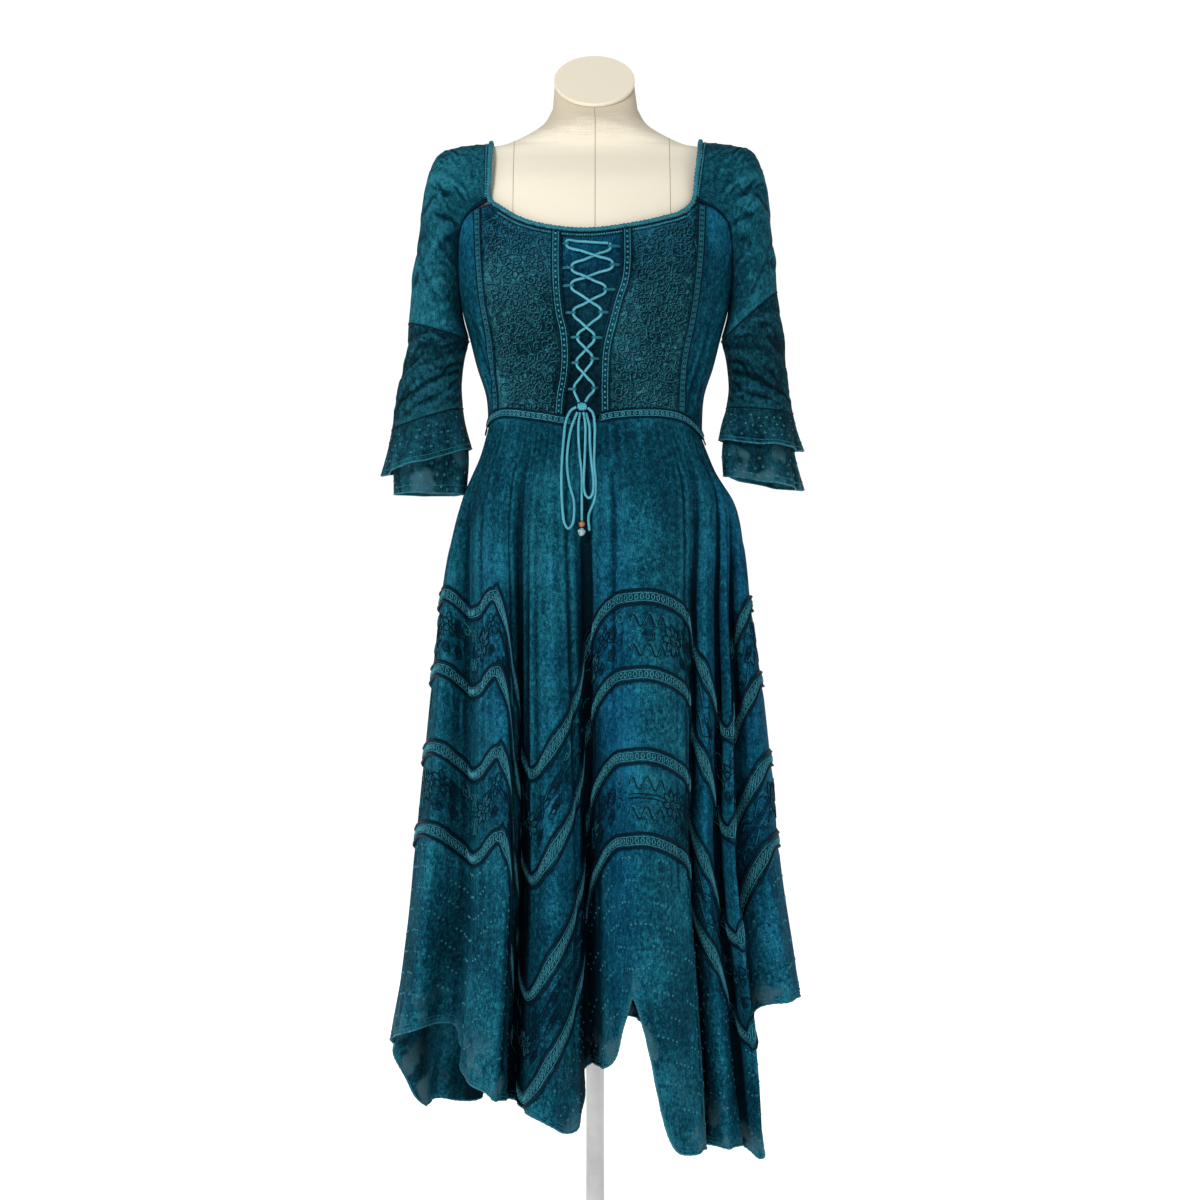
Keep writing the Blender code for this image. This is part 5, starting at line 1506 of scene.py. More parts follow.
LOWER_RIGHT = [
    (0.159, 1.1432, 0.002, 0.226, 1.2042, 0.048, 1.0),
    (0.165, 1.118, 0.002, 0.233, 1.157, 0.05, 1.0), (0.168, 1.085, 0.002, 0.24, 1.088, 0.05, 1.0),
    (0.165, 1.06, 0.002, 0.246, 1.053, 0.048, 1.0),
]
OUTER_LEFT = [
    (-0.1665, 1.0592, 0.002, -0.253, 1.0312, 0.048, 1.0),
    (-0.163, 1.035, 0.002, -0.259, 1.005, 0.056, 1.0),
    (-0.157, 1.008, 0.002, -0.266, 0.975, 0.064, 1.0),
]
OUTER_RIGHT = [
    (0.165, 1.0592, 0.002, 0.246, 1.0522, 0.048, 1.0),
    (0.16, 1.04, 0.002, 0.252, 1.03, 0.056, 1.0), (0.157, 1.019, 0.002, 0.259, 1.006, 0.063, 1.0),
]
INNER_LEFT = [
    (-0.169, 1.0555, 0.002, -0.2488, 1.0285, 0.0442, 1.0),
    (-0.16, 1.004, 0.002, -0.251, 0.99, 0.047, 1.0),
    (-0.164, 0.952, 0.002, -0.249, 0.953, 0.052, 1.0),
]
INNER_RIGHT = [
    (0.1662, 1.0555, 0.002, 0.2432, 1.0475, 0.0446, 1.0),
    (0.1605, 1.008, 0.002, 0.249, 1.0, 0.048, 1.0),
    (0.163, 0.975, 0.002, 0.259, 0.957, 0.054, 1.0),
]
FLOUNCE_WAVES, FLOUNCE_WAVE_HEIGHT = 4, 0.0045

# around, along, both as metres of cloth: start, end, width, height
UPPER_CREASES = [
    (0.03, 0.06, 0.11, 0.15, 0.006, 0.0022), (0.04, 0.09, 0.12, 0.19, 0.006, -0.0024),
    (0.022, 0.12, 0.08, 0.2, 0.006, 0.0024), (0.06, 0.03, 0.13, 0.06, 0.008, -0.0014),
    (0.13, 0.17, 0.19, 0.215, 0.006, 0.002), (0.15, 0.1, 0.2, 0.19, 0.007, -0.002),
    (0.2, 0.08, 0.24, 0.2, 0.007, 0.002), (0.09, 0.2, 0.15, 0.225, 0.005, 0.0018),
    (0.06, 0.21, 0.12, 0.18, 0.005, -0.0018),
]
LOWER_CREASES = [
    (0.01, 0.02, 0.08, 0.06, 0.005, 0.0026), (0.02, 0.05, 0.1, 0.085, 0.005, -0.0026),
    (0.06, 0.01, 0.13, 0.04, 0.005, 0.0024), (0.09, 0.04, 0.16, 0.07, 0.005, -0.0024),
    (0.12, 0.075, 0.06, 0.095, 0.004, 0.002), (0.14, 0.02, 0.2, 0.065, 0.006, 0.0022),
    (0.03, 0.08, 0.055, 0.095, 0.004, 0.002), (0.18, 0.07, 0.22, 0.03, 0.005, -0.0022),
]
SLEEVE_ROUND, UPPER_LENGTH, LOWER_LENGTH = 0.24, 0.24, 0.105


def small_creases(seed, count, length, slope):
    """Many small creases that lean about one way, drawn with a seeded hand."""
    hand = random.Random(seed)
    rows = []
    for _ in range(count):
        around, along = hand.uniform(0.0, SLEEVE_ROUND), hand.uniform(0.0, length)
        run = hand.uniform(0.018, 0.05)
        lean = slope + hand.uniform(-0.35, 0.35)
        width = hand.uniform(0.0018, 0.0034)
        height = hand.choice((-1, 1)) * hand.uniform(0.0008, 0.002)
        end = around + run * math.cos(lean), along + run * math.sin(lean)
        rows.append((around, along, *end, width, height))
    return rows


UPPER_CREASES += small_creases(7, 130, UPPER_LENGTH, 0.5)
LOWER_CREASES += small_creases(9, 80, LOWER_LENGTH, 0.6)


def sleeve_point(rows, creases=(), length=0.1, waves=0):
    """around runs from the front seam over the outside to the back one, along from the top."""
    keys = list(range(len(rows)))
    curves = [through(keys, [row[i] for row in rows]) for i in range(7)]
    sign = math.copysign(1.0, rows[0][3])

    def line(around, along):
        key = along * (len(rows) - 1)
        seam_x, seam_z, seam_y, outer_x, outer_z, depth, closed = (curve(key) for curve in curves)
        open_rise = np.sin(math.pi * around)
        closed_rise = (1 - np.cos(2 * math.pi * around)) / 2
        rise = open_rise * (1 - closed) + closed_rise * closed
        y = -seam_y * np.cos(math.pi * around) - depth * np.sin(2 * math.pi * around)
        return rows_of(seam_x + (outer_x - seam_x) * rise, y, seam_z + (outer_z - seam_z) * rise)

    def point(around, along, out):
        around, along = np.broadcast_arrays(np.asarray(around, float), np.asarray(along, float))
        around = np.clip(around, 0.0015, 1 - 0.0015)
        here = line(around, along)
        side = line(around + 0.0015, along) - line(around - 0.0015, along)
        below, above = np.minimum(along + 0.01, 1.0), np.maximum(along - 0.01, 0.0)
        down = line(around, below) - line(around, above)
        away = unit(np.cross(side, down)) * (-sign)
        moved = out + 0.0 * around
        if waves:
            turn = 2 * math.pi * around
            wave = np.sin(waves * turn) + 0.22 * np.sin(11 * turn + 0.8)
            moved = moved + FLOUNCE_WAVE_HEIGHT * along * wave
        if creases:
            edge = smooth_step(along, 0.0, 0.12) * smooth_step(1 - along, 0.0, 0.12)
            edge = edge * smooth_step(around, 0.0, 0.06) * smooth_step(1 - around, 0.0, 0.06)
            moved = moved + edge * crease_field(around * SLEEVE_ROUND, along * length, creases)
        return here + away * np.expand_dims(moved, -1)

    return point


print("sleeve tables ready")


# %% Lay the sleeves
def lay_sleeves():
    made = {}
    for side, upper, lower, outer, inner in (
        ("left", SLEEVE_LEFT, LOWER_LEFT, OUTER_LEFT, INNER_LEFT),
        ("right", SLEEVE_RIGHT, LOWER_RIGHT, OUTER_RIGHT, INNER_RIGHT),
    ):
        top = sleeve_point(upper, UPPER_CREASES, UPPER_LENGTH)
        elbow = sleeve_point(lower, LOWER_CREASES, LOWER_LENGTH)
        over, under = (sleeve_point(rows, waves=FLOUNCE_WAVES) for rows in (outer, inner))
        for name, point, columns, rows, finish, on in (
            ("sleeve_upper", top, 92, 72, "sleeve", "linen_torso"),
            ("sleeve_lower", elbow, 104, 44, "low sleeve", f"sleeve_upper_{side}_cloth"),
            ("flounce_outer", over, 120, 16, "low sleeve", f"sleeve_lower_{side}_cloth"),
            ("flounce_inner", under, 120, 22, "sheer", f"sleeve_lower_{side}_cloth"),
        ):
            lay_sheet(
                f"{name}_{side}", point, columns, rows, finish, rests_on=[on],
                wear=lambda across, down: 0.7 * smooth_step(down, 0.86, 1.0),
                sheer=lambda across, down: smooth_step(down, 0.3, 0.6),
            )
            made[f"{name}_{side}"] = point
    return made


sleeves = lay_sleeves()
print("sleeve cuts:", {name: cuts[name] for name in sleeves})

# %% [markdown]
# ## Seams and hems
#
# A rolled hem is a cord of cloth: the edge is turned over a fine filling and whipped with
# thread. Here it is a cord along the edge with a slight swell at each stitch, and two lines
# of stitching above it. The V seams of the sleeves are corded in the same way.


# %% Hems and seams
def whipped(points, radius, pitch):
    """The radius of a cord that swells a little between its stitches."""
    gone = gone_along(points)
    return radius * (1 + 0.16 * np.sin(2 * math.pi * gone / pitch))


HEM_RADIUS, HEM_SWELL_PITCH, HEM_END = 0.0015, 0.008, 0.01
CUFF_RADIUS, CUFF_SWELL_PITCH, SEAM_SWELL_PITCH = 0.0012, 0.0035, 0.004
ON_CLOTH = CLOTH + 0.0002


def sew_skirt_hem():
    places = np.linspace(HEM_END, len(FOLDS) - HEM_END, 1100)
    hem = fold_hem(places)
    edge = skirt_point(places, hem + 0.0006, CLOTH / 2)
    threads = [Thread(edge, whipped(edge, HEM_RADIUS, HEM_SWELL_PITCH), 0, True)]
    for rise in (0.005, 0.0095):
        stitches = skirt_point(places[::2], hem[::2] + rise, ON_CLOTH)
        threads.append(Thread(stitches, 0.00036, 0, True))
    finish_piece(sew_threads("skirt_hem", threads, ["soft thread"]), [])


def sew_cuff(side):
    threads = []
    around = np.linspace(0.004, 0.996, 200)
    for name in ("flounce_outer", "flounce_inner"):
        point = sleeves[f"{name}_{side}"]
        edge = point(around, 1.0, CLOTH / 2)
        threads.append(Thread(edge, whipped(edge, CUFF_RADIUS, CUFF_SWELL_PITCH), 0, False))
        threads.append(Thread(point(around, 0.9, ON_CLOTH), 0.0004, 0, False))
    finish_piece(sew_threads(f"flounce_hems_{side}", threads, ["soft thread"]), [])


def sew_sleeve_seams(side):
    """Cords over the elbow and flounce seams, and a tapering one down each raglan seam."""
    threads = []
    around = np.linspace(0.004, 0.996, 200)
    for name in ("sleeve_lower", "flounce_outer"):
        edge = sleeves[f"{name}_{side}"](around, 0.0, CLOTH / 2 + 0.0004)
        threads.append(Thread(edge, whipped(edge, CUFF_RADIUS, SEAM_SWELL_PITCH), 0, False))
    down = np.linspace(0.0, 0.98, 80)
    taper = 0.003 - 0.0019 * smooth_step(down, 0.0, 0.35)
    for facing in (0.0, 1.0):
        raglan = sleeves[f"sleeve_upper_{side}"](facing, down, CLOTH)
        threads.append(Thread(raglan, taper, 0, False))
    finish_piece(sew_threads(f"sleeve_seams_{side}", threads, ["dark thread"]), [])


sew_skirt_hem()
for side in ("left", "right"):
    sew_cuff(side)
    sew_sleeve_seams(side)
print("hems sewn")

# %% [markdown]
# ## Neck binding
#
# The neckline and the straps are finished with one narrow binding, gathered as it was sewn,
# so it looks like a string of small puffs. A smooth path runs round the neck, over both
# shoulders and along the back, and the radius of the tube rises and falls along it.

# %% Sew the neck binding
BINDING_RADIUS, PUFF_RADIUS = 0.0026, 0.0028
BINDING_STEP = 0.0011
PUFF_PITCH, SLOW_PUFF_PITCH = 0.0053, 0.0131
BACK_NECK_DEGREES = [133, 142, 160, 178, 196, 214, 227]


def binding_path():
    inside = BINDING_RADIUS + 2 * SEAM_GAP
    left, right = SLEEVE_LEFT[0][0] + inside, SLEEVE_RIGHT[0][0] - inside
    x = np.linspace(left, right, 16)
    front = on_front(x, neck_at(x), CLOTH / 2, creased=False)
    straps = []
    for rows, sign in ((SLEEVE_RIGHT, 1.0), (SLEEVE_LEFT, -1.0)):
        around = np.linspace(0.12, 0.88, 6)
        strap = sleeve_point(rows)(around, 0.0 * around, CLOTH / 2 + 0.0018)
        straps.append(strap + np.array([-sign * inside, 0.0, 0.0]))
    degrees = np.array(BACK_NECK_DEGREES)
    z = side_top_at(np.minimum(degrees, 360 - degrees)) + NECK_EDGE - RAGLAN_GAP
    back = body_point(np.radians(degrees), z, CLOTH / 2, creased=False)
    once_round = np.concatenate([front, straps[0], back, straps[1][::-1]])
    return smooth_path(once_round, BINDING_STEP, closed=True)


def sew_binding():
    path = binding_path()
    turn = np.arange(len(path)) * BINDING_STEP * 2 * math.pi
    puffs = 1 + 0.14 * np.sin(turn / PUFF_PITCH) + 0.06 * np.sin(turn / SLOW_PUFF_PITCH)
    threads = [Thread(path, PUFF_RADIUS * puffs, 0, True)]
    outward_way = unit(path * np.array([1.0, 1.0, 0.0]))
    for start in range(0, len(path) - 3, 5):
        lift = outward_way[start : start + 2] * 0.0021 + np.array([0.0, 0.0, -0.0004])
        threads.append(Thread(path[start : start + 2] + lift, 0.00075, 1, False))
    binding = sew_threads("gathered_neck_binding", threads, ["soft thread", "pale thread"], 2)
    finish_piece(binding, ["neck_binding"])
    return len(path)


print("points on the binding:", sew_binding())


def stitched(path, radius, tone):
    """A dark line is one thread; a pale one is a row of separate stitches."""
    path = smooth_path(path, 0.0015)
    if tone:
        return [Thread(path, radius, tone, False)]
    return [Thread(path[k : k + 2], radius, tone, False) for k in range(0, len(path) - 2, 2)]


def sew_neck_stitches():
    """A row of small raised stitches below the binding, and down the edge of each strap."""
    threads = []
    x = np.linspace(-0.118, 0.111, 420)
    slope = (neck_at(x + 0.002) - neck_at(x - 0.002)) / 0.004
    for drop, radius, tone in ((0.0064, 0.0011, 0), (0.0038, 0.001, 1), (0.0086, 0.0006, 1)):
        z = neck_at(x) - drop * np.sqrt(1 + slope * slope)
        threads += stitched(on_front(x, z, ON_CLOTH), radius, tone)
    around = np.linspace(0.02, 0.98, 150)
    for side in ("left", "right"):
        for along, radius, tone in ((0.012, 0.00105, 0), (0.02, 0.0006, 1)):
            strap = sleeves[f"sleeve_upper_{side}"](around, along, ON_CLOTH)
            threads += stitched(strap, radius, tone)
    stitches = sew_threads("neck_stitches", threads, ["pale thread", "dark thread"])
    finish_piece(stitches, [])
    return len(threads)


print("stitches round the neck:", sew_neck_stitches())

# %% [markdown]
# ## Lacing
#
# One soft cord zigzags through seven pairs of loops, crossing over and under itself, and is
# tied in a bow at the waist. Its two halves are built from the same loop tips as the solids,
# then the bow's loops and the two free ends hang from the knot.

# %% Lace routes
# left x, left z, right x, right z of each pair of loops
LOOP_TIPS = [
    (-0.0338, 1.251, 0.0181, 1.2474), (-0.0272, 1.2209, 0.0205, 1.2245),
    (-0.0278, 1.199, 0.0121, 1.1943), (-0.0254, 1.1666, 0.0068, 1.167),
    (-0.0205, 1.1376, -0.0012, 1.137), (-0.0217, 1.1075, -0.0036, 1.1123),
    (-0.0249, 1.0761, -0.0017, 1.0773),
]
LACE_SEAT, LOOP_PASS, LACE_UNDER, LACE_OVER = 0.0019, 0.0034, 0.0002, 0.0038
KNOT = np.array([-0.0157, -0.106, 1.0545])
KNOT_FROM_LEFT = [
    (-0.0222, -0.1042, 1.066), (-0.0196, -0.1055, 1.06),
]
KNOT_FROM_RIGHT = [
    (-0.0076, -0.1052, 1.0672), (-0.0118, -0.1062, 1.0602),
]
BOW_LOOP_LEFT = [
    (-0.0228, -0.1056, 1.054), (-0.029, -0.1052, 1.05), (-0.035, -0.1023, 1.038),
    (-0.038, -0.1038, 1.015), (-0.04, -0.1087, 0.99), (-0.0408, -0.1137, 0.965),
    (-0.04, -0.1186, 0.94), (-0.0386, -0.1207, 0.922), (-0.0366, -0.1212, 0.912),
    (-0.0324, -0.1208, 0.9062), (-0.0276, -0.1193, 0.911), (-0.0254, -0.118, 0.922),
    (-0.0258, -0.1168, 0.94), (-0.031, -0.1139, 0.96), (-0.0338, -0.1098, 0.982),
    (-0.033, -0.1059, 1.005), (-0.0285, -0.1035, 1.03), (-0.0215, -0.109, 1.0474),
]
LACE_END_LEFT = [
    (-0.0183, -0.1064, 1.0473), (-0.02, -0.1023, 1.034), (-0.02, -0.1048, 1.015),
    (-0.0185, -0.1075, 0.995), (-0.0162, -0.1103, 0.974), (-0.016, -0.1137, 0.945),
    (-0.016, -0.112, 0.916),
]
BOW_LOOP_RIGHT = [
    (-0.014, -0.1085, 1.0474), (-0.0118, -0.1031, 1.033), (-0.0118, -0.106, 1.013),
    (-0.0126, -0.1098, 0.99), (-0.0136, -0.114, 0.969), (-0.0134, -0.1156, 0.956),
    (-0.0114, -0.1166, 0.947), (-0.0075, -0.1171, 0.9432), (-0.0036, -0.1172, 0.947),
    (-0.0018, -0.1168, 0.956), (-0.0022, -0.1156, 0.969), (-0.0046, -0.1112, 0.99),
    (-0.0062, -0.1074, 1.011), (-0.007, -0.1039, 1.032), (-0.011, -0.105, 1.047),
]
LACE_END_RIGHT = [
    (-0.0086, -0.1068, 1.053), (-0.003, -0.1072, 1.047), (-0.0004, -0.1043, 1.032),
    (-0.0006, -0.1079, 1.01), (-0.001, -0.112, 0.985), (0.0008, -0.1151, 0.96),
    (-0.001, -0.1142, 0.94), (-0.0078, -0.1132, 0.922), (-0.0068, -0.1124, 0.904),
]
BEAD_AMBER, BEAD_TURQUOISE = (-0.016, -0.1153, 0.9116), (-0.0162, -0.115, 0.9021)
AMBER_SIZE, NUGGET_SIZE = (0.004, 0.004, 0.004), (0.0052, 0.0044, 0.005)


def lace_route(start):
    """The cord's middle line from the top loop to the knot. start is 0 for left, 1 for right."""
    side, over = start, start == 0

    def beside(row, which, rise):
        x, z = LOOP_TIPS[row][2 * which : 2 * which + 2]
        return on_front(x, z + rise, LACE_SEAT, False)

    route = []
    if start == 0:
        a, b = beside(0, 1, LOOP_PASS), beside(0, 0, LOOP_PASS)
        for share in (0.05, 0.24, 0.5, 0.76):
            middle = a + (b - a) * share
            seat = LACE_UNDER if share > 0.1 else LACE_SEAT
            route.append(on_front(middle[0], middle[2], seat, False))
    for row in range(len(LOOP_TIPS)):
        a = beside(row, side, -LOOP_PASS)
        route += [beside(row, side, LOOP_PASS), a]
        if row == len(LOOP_TIPS) - 1:
            break
        b = beside(row + 1, 1 - side, LOOP_PASS)
        for share in (0.34, 0.66):
            middle = a + (b - a) * share
            seat = LACE_OVER if over else LACE_UNDER
            route.append(on_front(middle[0], middle[2], seat, False))
        side, over = 1 - side, not over
    return route


print("lace routes ready")


# %% Tie the lace
def lay_cord(node, points, far_end, lay, with_pieces=()):
    path = smooth_path(points, 0.0016)
    cord = sew_threads(f"{node}_cord", [Thread(path, LACE_DIAMETER / 2, 0, False)], ["lace"], 2)
    finish_piece(cord, [node])
    length = float(np.linalg.norm(np.diff(path, axis=0), axis=1).sum())
    list(with_pieces)
    return round(length, 3)


def tie_knot():
    """A small wrapped knot: a few turns of the cord round a core."""
    turn = np.linspace(0.0, 2 * math.pi * 4.0, 90)
    swell = np.sqrt(np.maximum(1 - ((turn / turn[-1] - 0.5) * 1.5) ** 2, 0.2))
    wraps = rows_of(
        KNOT[0] + (turn / turn[-1] - 0.5) * 0.0092,
        KNOT[1] + 0.0028 * swell * np.cos(turn),
        KNOT[2] + 0.0036 * swell * np.sin(turn),
    )
    core = KNOT + rows_of(np.linspace(-0.0055, 0.0055, 8), 0.0, 0.0)
    threads = [Thread(wraps, 0.0014, 0, False), Thread(core, 0.0024, 0, False)]
    knot = sew_threads("wrapped_knot", threads, ["lace"], 2)
    return finish_piece(knot, ["lace_knot"])


def string_bead(name, node, middle, size, finish, roughen):
    bead = bmesh.new()
    bmesh.ops.create_icosphere(bead, subdivisions=4, radius=1.0)
    hand = random.Random(5)
    knocks = []
    for _ in range(14):
        way = Vector([hand.uniform(-1, 1) for _ in range(3)]).normalized()
        knocks.append((way, hand.uniform(0.5, 1)))
    for vert in bead.verts:
        way = vert.co.normalized()
        dent = sum(amount * max(way.dot(knock) - 0.75, 0.0) for knock, amount in knocks)
        vert.co = way * (1 - roughen * dent)
    bmesh.ops.scale(bead, vec=size, verts=bead.verts)
    bmesh.ops.translate(bead, vec=middle, verts=bead.verts)
    return piece_of(name, bead, finish, [node])


def tie_lace():
    knot = tie_knot()
    amber = string_bead("carved_amber_bead", "bead_amber", BEAD_AMBER, AMBER_SIZE, "amber", 0.35)
    nugget = string_bead(
        "turquoise_nugget", "bead_turquoise", BEAD_TURQUOISE, NUGGET_SIZE, "turquoise", 0.7
    )
    lengths = {}
    for node, points, far_end, lay, with_pieces in (
        ("lace_a", lace_route(0) + KNOT_FROM_LEFT, "knot", "taut", [knot]),
        ("lace_b", lace_route(1) + KNOT_FROM_RIGHT, "object", "taut", []),
        ("bow_loop_left", BOW_LOOP_LEFT, "object", "hanging", []),
        ("bow_loop_right", BOW_LOOP_RIGHT, "object", "hanging", []),
        ("lace_end_left", LACE_END_LEFT, "fitting", "hanging", [amber, nugget]),
        ("lace_end_right", LACE_END_RIGHT, "bare", "hanging", []),
    ):
        lengths[node] = lay_cord(node, points, far_end, lay, with_pieces)
    return lengths


print("cord lengths:", tie_lace())

# %% Lacing loops and their tapes
TAPE_DEPTH, TAPE_WIDTH, TAPE_WALL = 0.0022, 0.01, 0.0012
LOOP_STRANDS, STRAND_RADIUS = (-0.0009, 0.0, 0.0009), 0.00055
# beyond the panel's edge, out from the cloth; the reach of the loop is added from the third row on
LOOP_START = [
    (-0.0035, -0.0016), (0.0008, -0.0015),
]
LOOP_ROUND = [
    (-0.002, -0.0008), (0.0012, -0.0004), (0.0024, 0.0018), (0.0012, 0.0041), (-0.0014, 0.0043),
]
LOOP_BACK = [
    (0.0016, 0.0006), (0.0011, -0.0004),
]


def sew_loops(side, sign, line, column):
    """A tape behind one lacing edge, and seven small loops of three strands round the cord."""
    (edge_x,) = columns_of(line)

    def point(across, down, out):
        z = WAIST_Z + 0.0 * across
        for _ in range(4):
            x = edge_x(z) - sign * (TAPE_WIDTH * (1 - across) - 0.001)
            z = WAIST_Z + (neck_edge(x) - WAIST_Z) * (1 - 0.95 * down)
        return on_front(x, z, out, False)

    lay_sheet(
        f"loop_tape_{side}", point, 2, 60, "dark", seat=-TAPE_DEPTH, wall=TAPE_WALL,
        held="stretched", rests_on=["bodice_inset_cloth"], slot="rayon_dark",
    )
    threads = []
    for tip in LOOP_TIPS:
        tip_x, tip_z = tip[column], tip[column + 1]
        start = float(edge_x(tip_z))
        reach = (tip_x - start) * sign
        steps = LOOP_START + [(along + reach, out) for along, out in LOOP_ROUND] + LOOP_BACK
        along, out = np.array(steps).T
        for rise in LOOP_STRANDS:
            route = on_front(start + sign * along, tip_z + rise, out, False)
            threads.append(Thread(smooth_path(route, 0.0008), STRAND_RADIUS, 0, False))
    loops = sew_threads(f"lacing_loops_{side}", threads, ["soft thread"])
    finish_piece(loops, [])
    return len(threads)


strands = sew_loops("left", 1, LACING_LEFT, 0) + sew_loops("right", -1, LACING_RIGHT, 2)
print("strands in the lacing loops:", strands)

# %% [markdown]
# ## Embroidery
#
# Two of the tiers carry flowers, rosettes and wavy vines, outlined in dark thread with a paler
# line beside it. The bodice fronts are covered with small tone-on-tone scrolls. Each motif is
# drawn flat in metres, turned and moved to its spot, and only then laid on the curved cloth,
# the way a stencil is used before stitching.


# %% Motifs
def oval_petals(count, reach, width, turned=0.0):
    """Closed petal outlines that meet in the middle of a flower."""
    t = np.linspace(0.0, 2 * math.pi, 9)[:-1]
    strokes = []
    for k in range(count):
        angle = 2 * math.pi * k / count + turned
        out = reach * (0.2 + 0.4 * (1 - np.cos(t)))
        side = width / 2 * np.sin(t)
        a = out * math.cos(angle) - side * math.sin(angle)
        b = out * math.sin(angle) + side * math.cos(angle)
        strokes.append((np.stack([a, b], -1), True))
    return strokes


def rosette(radius):
    t = np.linspace(0.0, 2 * math.pi, 15)[:-1]
    ripple = 1 + 0.12 * np.sin(5 * t)
    ring = np.stack([np.cos(t) * ripple, np.sin(t) * ripple], -1)
    return [(ring * radius, True), (ring * radius * 0.62, True), (ring[::2] * radius * 0.25, True)]


def scroll(size, turns, hand):
    t = np.linspace(0.0, 1.0, 13)
    angle = 2 * math.pi * turns * t * hand
    reach = size * (1 - t) ** 0.8
    curl = np.stack([reach * np.cos(angle), reach * np.sin(angle)], -1)
    s = np.linspace(0.0, 1.0, 4)
    tail = np.stack([size * (1 + 0.25 * s), -hand * size * 1.1 * s], -1)
    return [(np.concatenate([tail[::-1], curl]), False)]


def wave(length, height, pitch):
    t = np.linspace(0.0, length, max(int(length / pitch * 10), 8))
    return [(np.stack([t - length / 2, height * np.sin(2 * math.pi * t / pitch)], -1), False)]


def moved(strokes, turn, a, b, size=1.0):
    c, s = math.cos(turn) * size, math.sin(turn) * size
    turning = np.array([[c, s], [-s, c]])
    return [(points @ turning + (a, b), closed) for points, closed in strokes]


def embroider(name, drawn, place_on, tones):
    """drawn lists (strokes, radius, tone) in flat metres; place_on lays them on the cloth."""
    threads = []
    for strokes, radius, tone in drawn:
        for points, closed in strokes:
            threads.append(Thread(place_on(points[:, 0], points[:, 1]), radius, tone, closed))
    finish_piece(sew_threads(name, threads, tones), [])


print("motifs ready")

# %% Flowered tiers
def draw_flowered_band(level, start, stop, lines):
    """Flowers, rosettes and waves between two trims, from start to stop metres round the skirt."""
    hand = random.Random(11 + level)
    drawn = []

    def middle_of(gone):
        place = np.interp(gone, LAP_GONE, LAP_PLACES)
        return (trim_z(level, place) + trim_z(level + 1, place)) / 2

    def add(strokes, a, b, radius, tone=0, turn=0.0, size=1.0):
        drawn.append((moved(strokes, turn, gone + a, b, size), radius, tone))

    gone = start + 0.012
    while gone < stop - 0.02:
        if gone + 0.05 < stop:
            for rise in (0.0176, -0.0176):
                add(wave(0.046, 0.0075, 0.018), 0.022, rise, 0.0008)
                add(wave(0.044, 0.0075, 0.018), 0.023, rise + 0.0022, 0.00055, 1)
            if lines:
                for rise in (0.0, 0.005):
                    add(wave(0.046, 0.0004, 0.03), 0.022, rise, 0.0007)
            else:
                add(rosette(0.007), 0.022, 0.0, 0.00065, turn=0.3)
        gone += 0.06
        if gone + 0.03 > stop:
            break
        turn = hand.uniform(0, 1)
        size = hand.uniform(0.9, 1.1)
        add(oval_petals(8, 0.0175, 0.0082, turn), 0.0, 0.002, 0.00085, size=size * 1.05)
        add(oval_petals(8, 0.0135, 0.004, turn), 0.0, 0.002, 0.0005, 1, size=size * 1.05)
        add(oval_petals(6, 0.014, 0.0075, turn + 0.4), 0.027, 0.016 - 0.004 * size, 0.0008)
        add(rosette(0.0062), 0.022, -0.018, 0.0007, turn=turn)
        gone += 0.046
        add(rosette(0.0095), 0.0, hand.uniform(0.008, 0.014), 0.00075, turn=turn)
        add(rosette(0.0078), 0.0, -0.014, 0.0007, turn=turn)
        add(scroll(0.008, 1.2, 1), 0.018, -0.004, 0.00065, turn=turn * 2)
        add(scroll(0.007, 1.1, -1), 0.018, 0.022, 0.0006, 1, turn=turn * 3)
        gone += 0.038

    def place_on(a, b):
        inside = np.clip(a, start + 0.002, stop - 0.002)
        place = np.interp(inside, LAP_GONE, LAP_PLACES)
        return skirt_point(place, middle_of(inside) + b, CLOTH + 0.0003)

    return drawn, place_on


def embroider_tiers():
    counts = []
    for level, lines in ((0, False), (2, True)):
        for half, start, stop in (("front", 0.0, HALF_LAP), ("back", HALF_LAP, LAP)):
            name = f"flowers_{TIER_NAMES[level + 1]}_{half}"
            drawn, place_on = draw_flowered_band(level, start, stop, lines)
            embroider(name, drawn, place_on, ["dark thread", "soft thread"])
            counts.append(len(drawn))
    return counts


print("motifs on each flowered tier:", embroider_tiers())

# %% Scrolls on the bodice
def draw_bodice_scrolls(left_line, right_line, seed):
    """A close field of scrolls and small petals that stops short of the seams."""
    hand = random.Random(seed)
    (left_x,), (right_x,) = columns_of(left_line), columns_of(right_line)
    drawn = []
    z = 1.056
    row = 0
    while z < 1.292:
        low, high = float(left_x(z)), float(right_x(z))
        x = low + 0.009 + (0.0055 if row % 2 else 0.0)
        while x < high - 0.006:
            if z < float(front_top(np.array(x))) - 0.01:
                turn = hand.uniform(0, 2 * math.pi)
                size = hand.uniform(0.0048, 0.0086)
                a, b = x + hand.uniform(-0.002, 0.002), z + hand.uniform(-0.002, 0.002)
                if hand.random() < 0.75:
                    figure = scroll(size, hand.uniform(1.0, 1.7), hand.choice((-1, 1)))
                else:
                    figure = oval_petals(5, size * 1.3, size * 0.9, turn)
                drawn.append((moved(figure, turn, a + 0.0009, b - 0.0009), 0.0007, 1))
                drawn.append((moved(figure, turn, a, b), 0.00052, 0))
            x += hand.uniform(0.0115, 0.0165)
        z += 0.0118
        row += 1
    return drawn


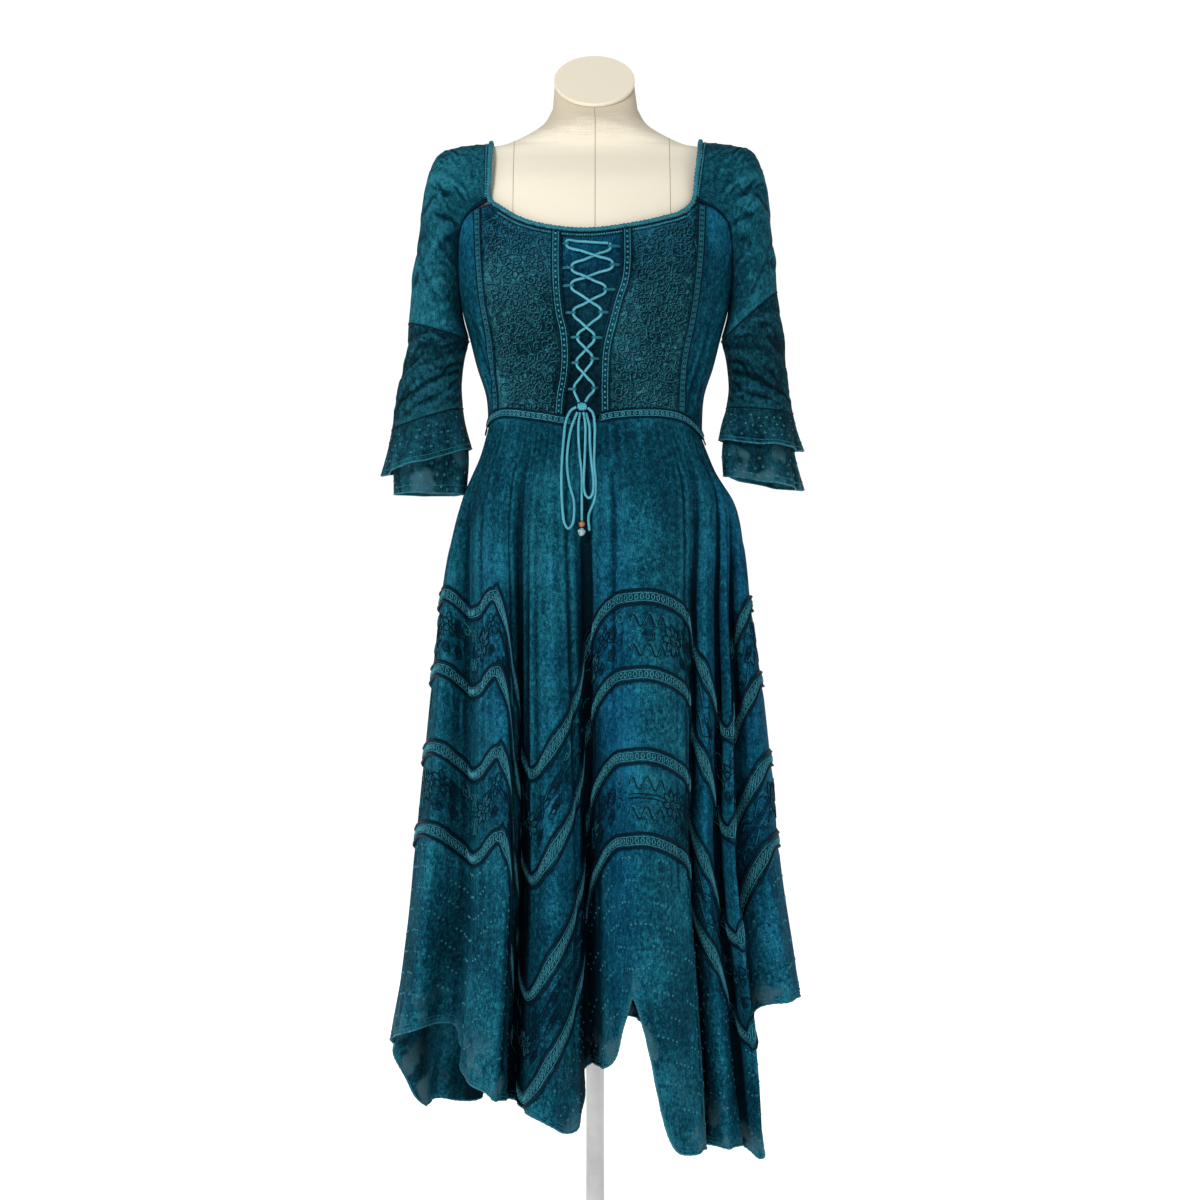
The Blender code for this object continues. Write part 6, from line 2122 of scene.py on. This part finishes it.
def embroider_bodice():
    counts = []
    left = [(z, x - 0.0135) for z, x in LACING_LEFT]
    right = [(z, x + 0.0135) for z, x in LACING_RIGHT]
    inner_left = [(z, x + 0.006) for z, x in PRINCESS_LEFT]
    inner_right = [(z, x - 0.006) for z, x in PRINCESS_RIGHT]
    for side, low, high, seed in (("left", inner_left, left, 3), ("right", right, inner_right, 8)):
        drawn = draw_bodice_scrolls(low, high, seed)
        tones = ["soft thread", "dark thread"]
        embroider(f"scrolls_{side}", drawn, lambda a, b: on_front(a, b, ON_CLOTH), tones)
        counts.append(len(drawn))
    return counts


print("scrolls on each bodice front:", embroider_bodice())

# %% [markdown]
# ## Bright specks
#
# The bottom tier and the flounces carry short rows of tiny shiny rings. Each is a small closed
# thread, a few faces only, because there are many of them.

# %% Specks
RING = np.linspace(0.0, 2 * math.pi, 6)[:-1]
RING_RADIUS = 0.0011
FLOUNCE_SPECK_ROWS = (("flounce_outer", (0.25, 0.5, 0.75)), ("flounce_inner", (0.62, 0.78, 0.92)))


def scatter_specks(half, start, stop):
    hand = random.Random(23 if half == "front" else 29)
    threads = []
    row = 0
    for drop in np.arange(0.02, 0.42, 0.026):
        gone = start + 0.012 + (0.022 if row % 2 else 0.0) + hand.uniform(0, 0.01)
        while gone < stop - 0.03:
            for k in range(hand.choice((3, 4, 5))):
                a = gone + 0.0058 * k
                place = np.interp(a, LAP_GONE, LAP_PLACES)
                z = trim_z(3, place) - drop + hand.uniform(-0.0008, 0.0008)
                if z > fold_hem(place) + 0.014 and a < stop - 0.004:
                    ring_place = np.interp(a + RING_RADIUS * np.cos(RING), LAP_GONE, LAP_PLACES)
                    ring_z = z + RING_RADIUS * np.sin(RING)
                    spots = skirt_point(ring_place, ring_z, CLOTH + 0.0003)
                    threads.append(Thread(spots, 0.00042, 0, True))
            gone += 0.046 + hand.uniform(-0.004, 0.004)
        row += 1
    piece = sew_threads(f"specks_{half}", threads, ["pale thread"])
    finish_piece(piece, [])
    return len(threads)


print("specks:", scatter_specks("front", 0.0, HALF_LAP), scatter_specks("back", HALF_LAP, LAP))


def speck_flounces():
    hand = random.Random(31)
    counts = []
    for side in ("left", "right"):
        threads = []
        for name, along_rows in FLOUNCE_SPECK_ROWS:
            point = sleeves[f"{name}_{side}"]
            for number, along in enumerate(along_rows):
                for around in np.arange(0.03 + 0.01 * number, 0.97, 0.034):
                    if hand.random() < 0.35:
                        continue
                    ring_around = around + 0.0045 * np.cos(RING) + hand.uniform(-0.004, 0.004)
                    ring_along = along + hand.uniform(-0.05, 0.05) + 0.018 * np.sin(RING)
                    spots = point(ring_around, ring_along, CLOTH + 0.0003)
                    threads.append(Thread(spots, 0.00034, 0, True))
        piece = sew_threads(f"flounce_specks_{side}", threads, ["pale thread"])
        finish_piece(piece, [])
        counts.append(len(threads))
    return counts


print("specks on the flounces:", speck_flounces())

# %% [markdown]
# ## Floor and finish
#
# The floor is a plain white plane that fades into the room. It glows a little, so it stays
# white under the skirt, where less light reaches it.


# %% Floor
def make_floor():
    floor = bmesh.new()
    bmesh.ops.create_grid(floor, x_segments=1, y_segments=1, size=14.0)
    mesh = bpy.data.meshes.new("floor")
    floor.to_mesh(mesh)
    floor.free()
    bench = Bench("white floor", Roughness=0.9, Specular_IOR_Level=0.0)
    bench.shader.inputs["Base Color"].default_value = (0.8, 0.8, 0.8, 1.0)
    bench.shader.inputs["Emission Color"].default_value = (1.0, 1.0, 1.0, 1.0)
    bench.shader.inputs["Emission Strength"].default_value = 0.8
    mesh.materials.append(bench.material)
    made = bpy.data.objects.new("floor", mesh)
    bpy.context.scene.collection.objects.link(made)
    made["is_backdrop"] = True


make_floor()

# %% Sizes and the end
boxes = {"solid": solid_box, "visual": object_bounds()}
boxes = {name: [[float(x) for x in corner] for corner in box] for name, box in boxes.items()}
print("boxes:", boxes)
print("cuts:", cuts)
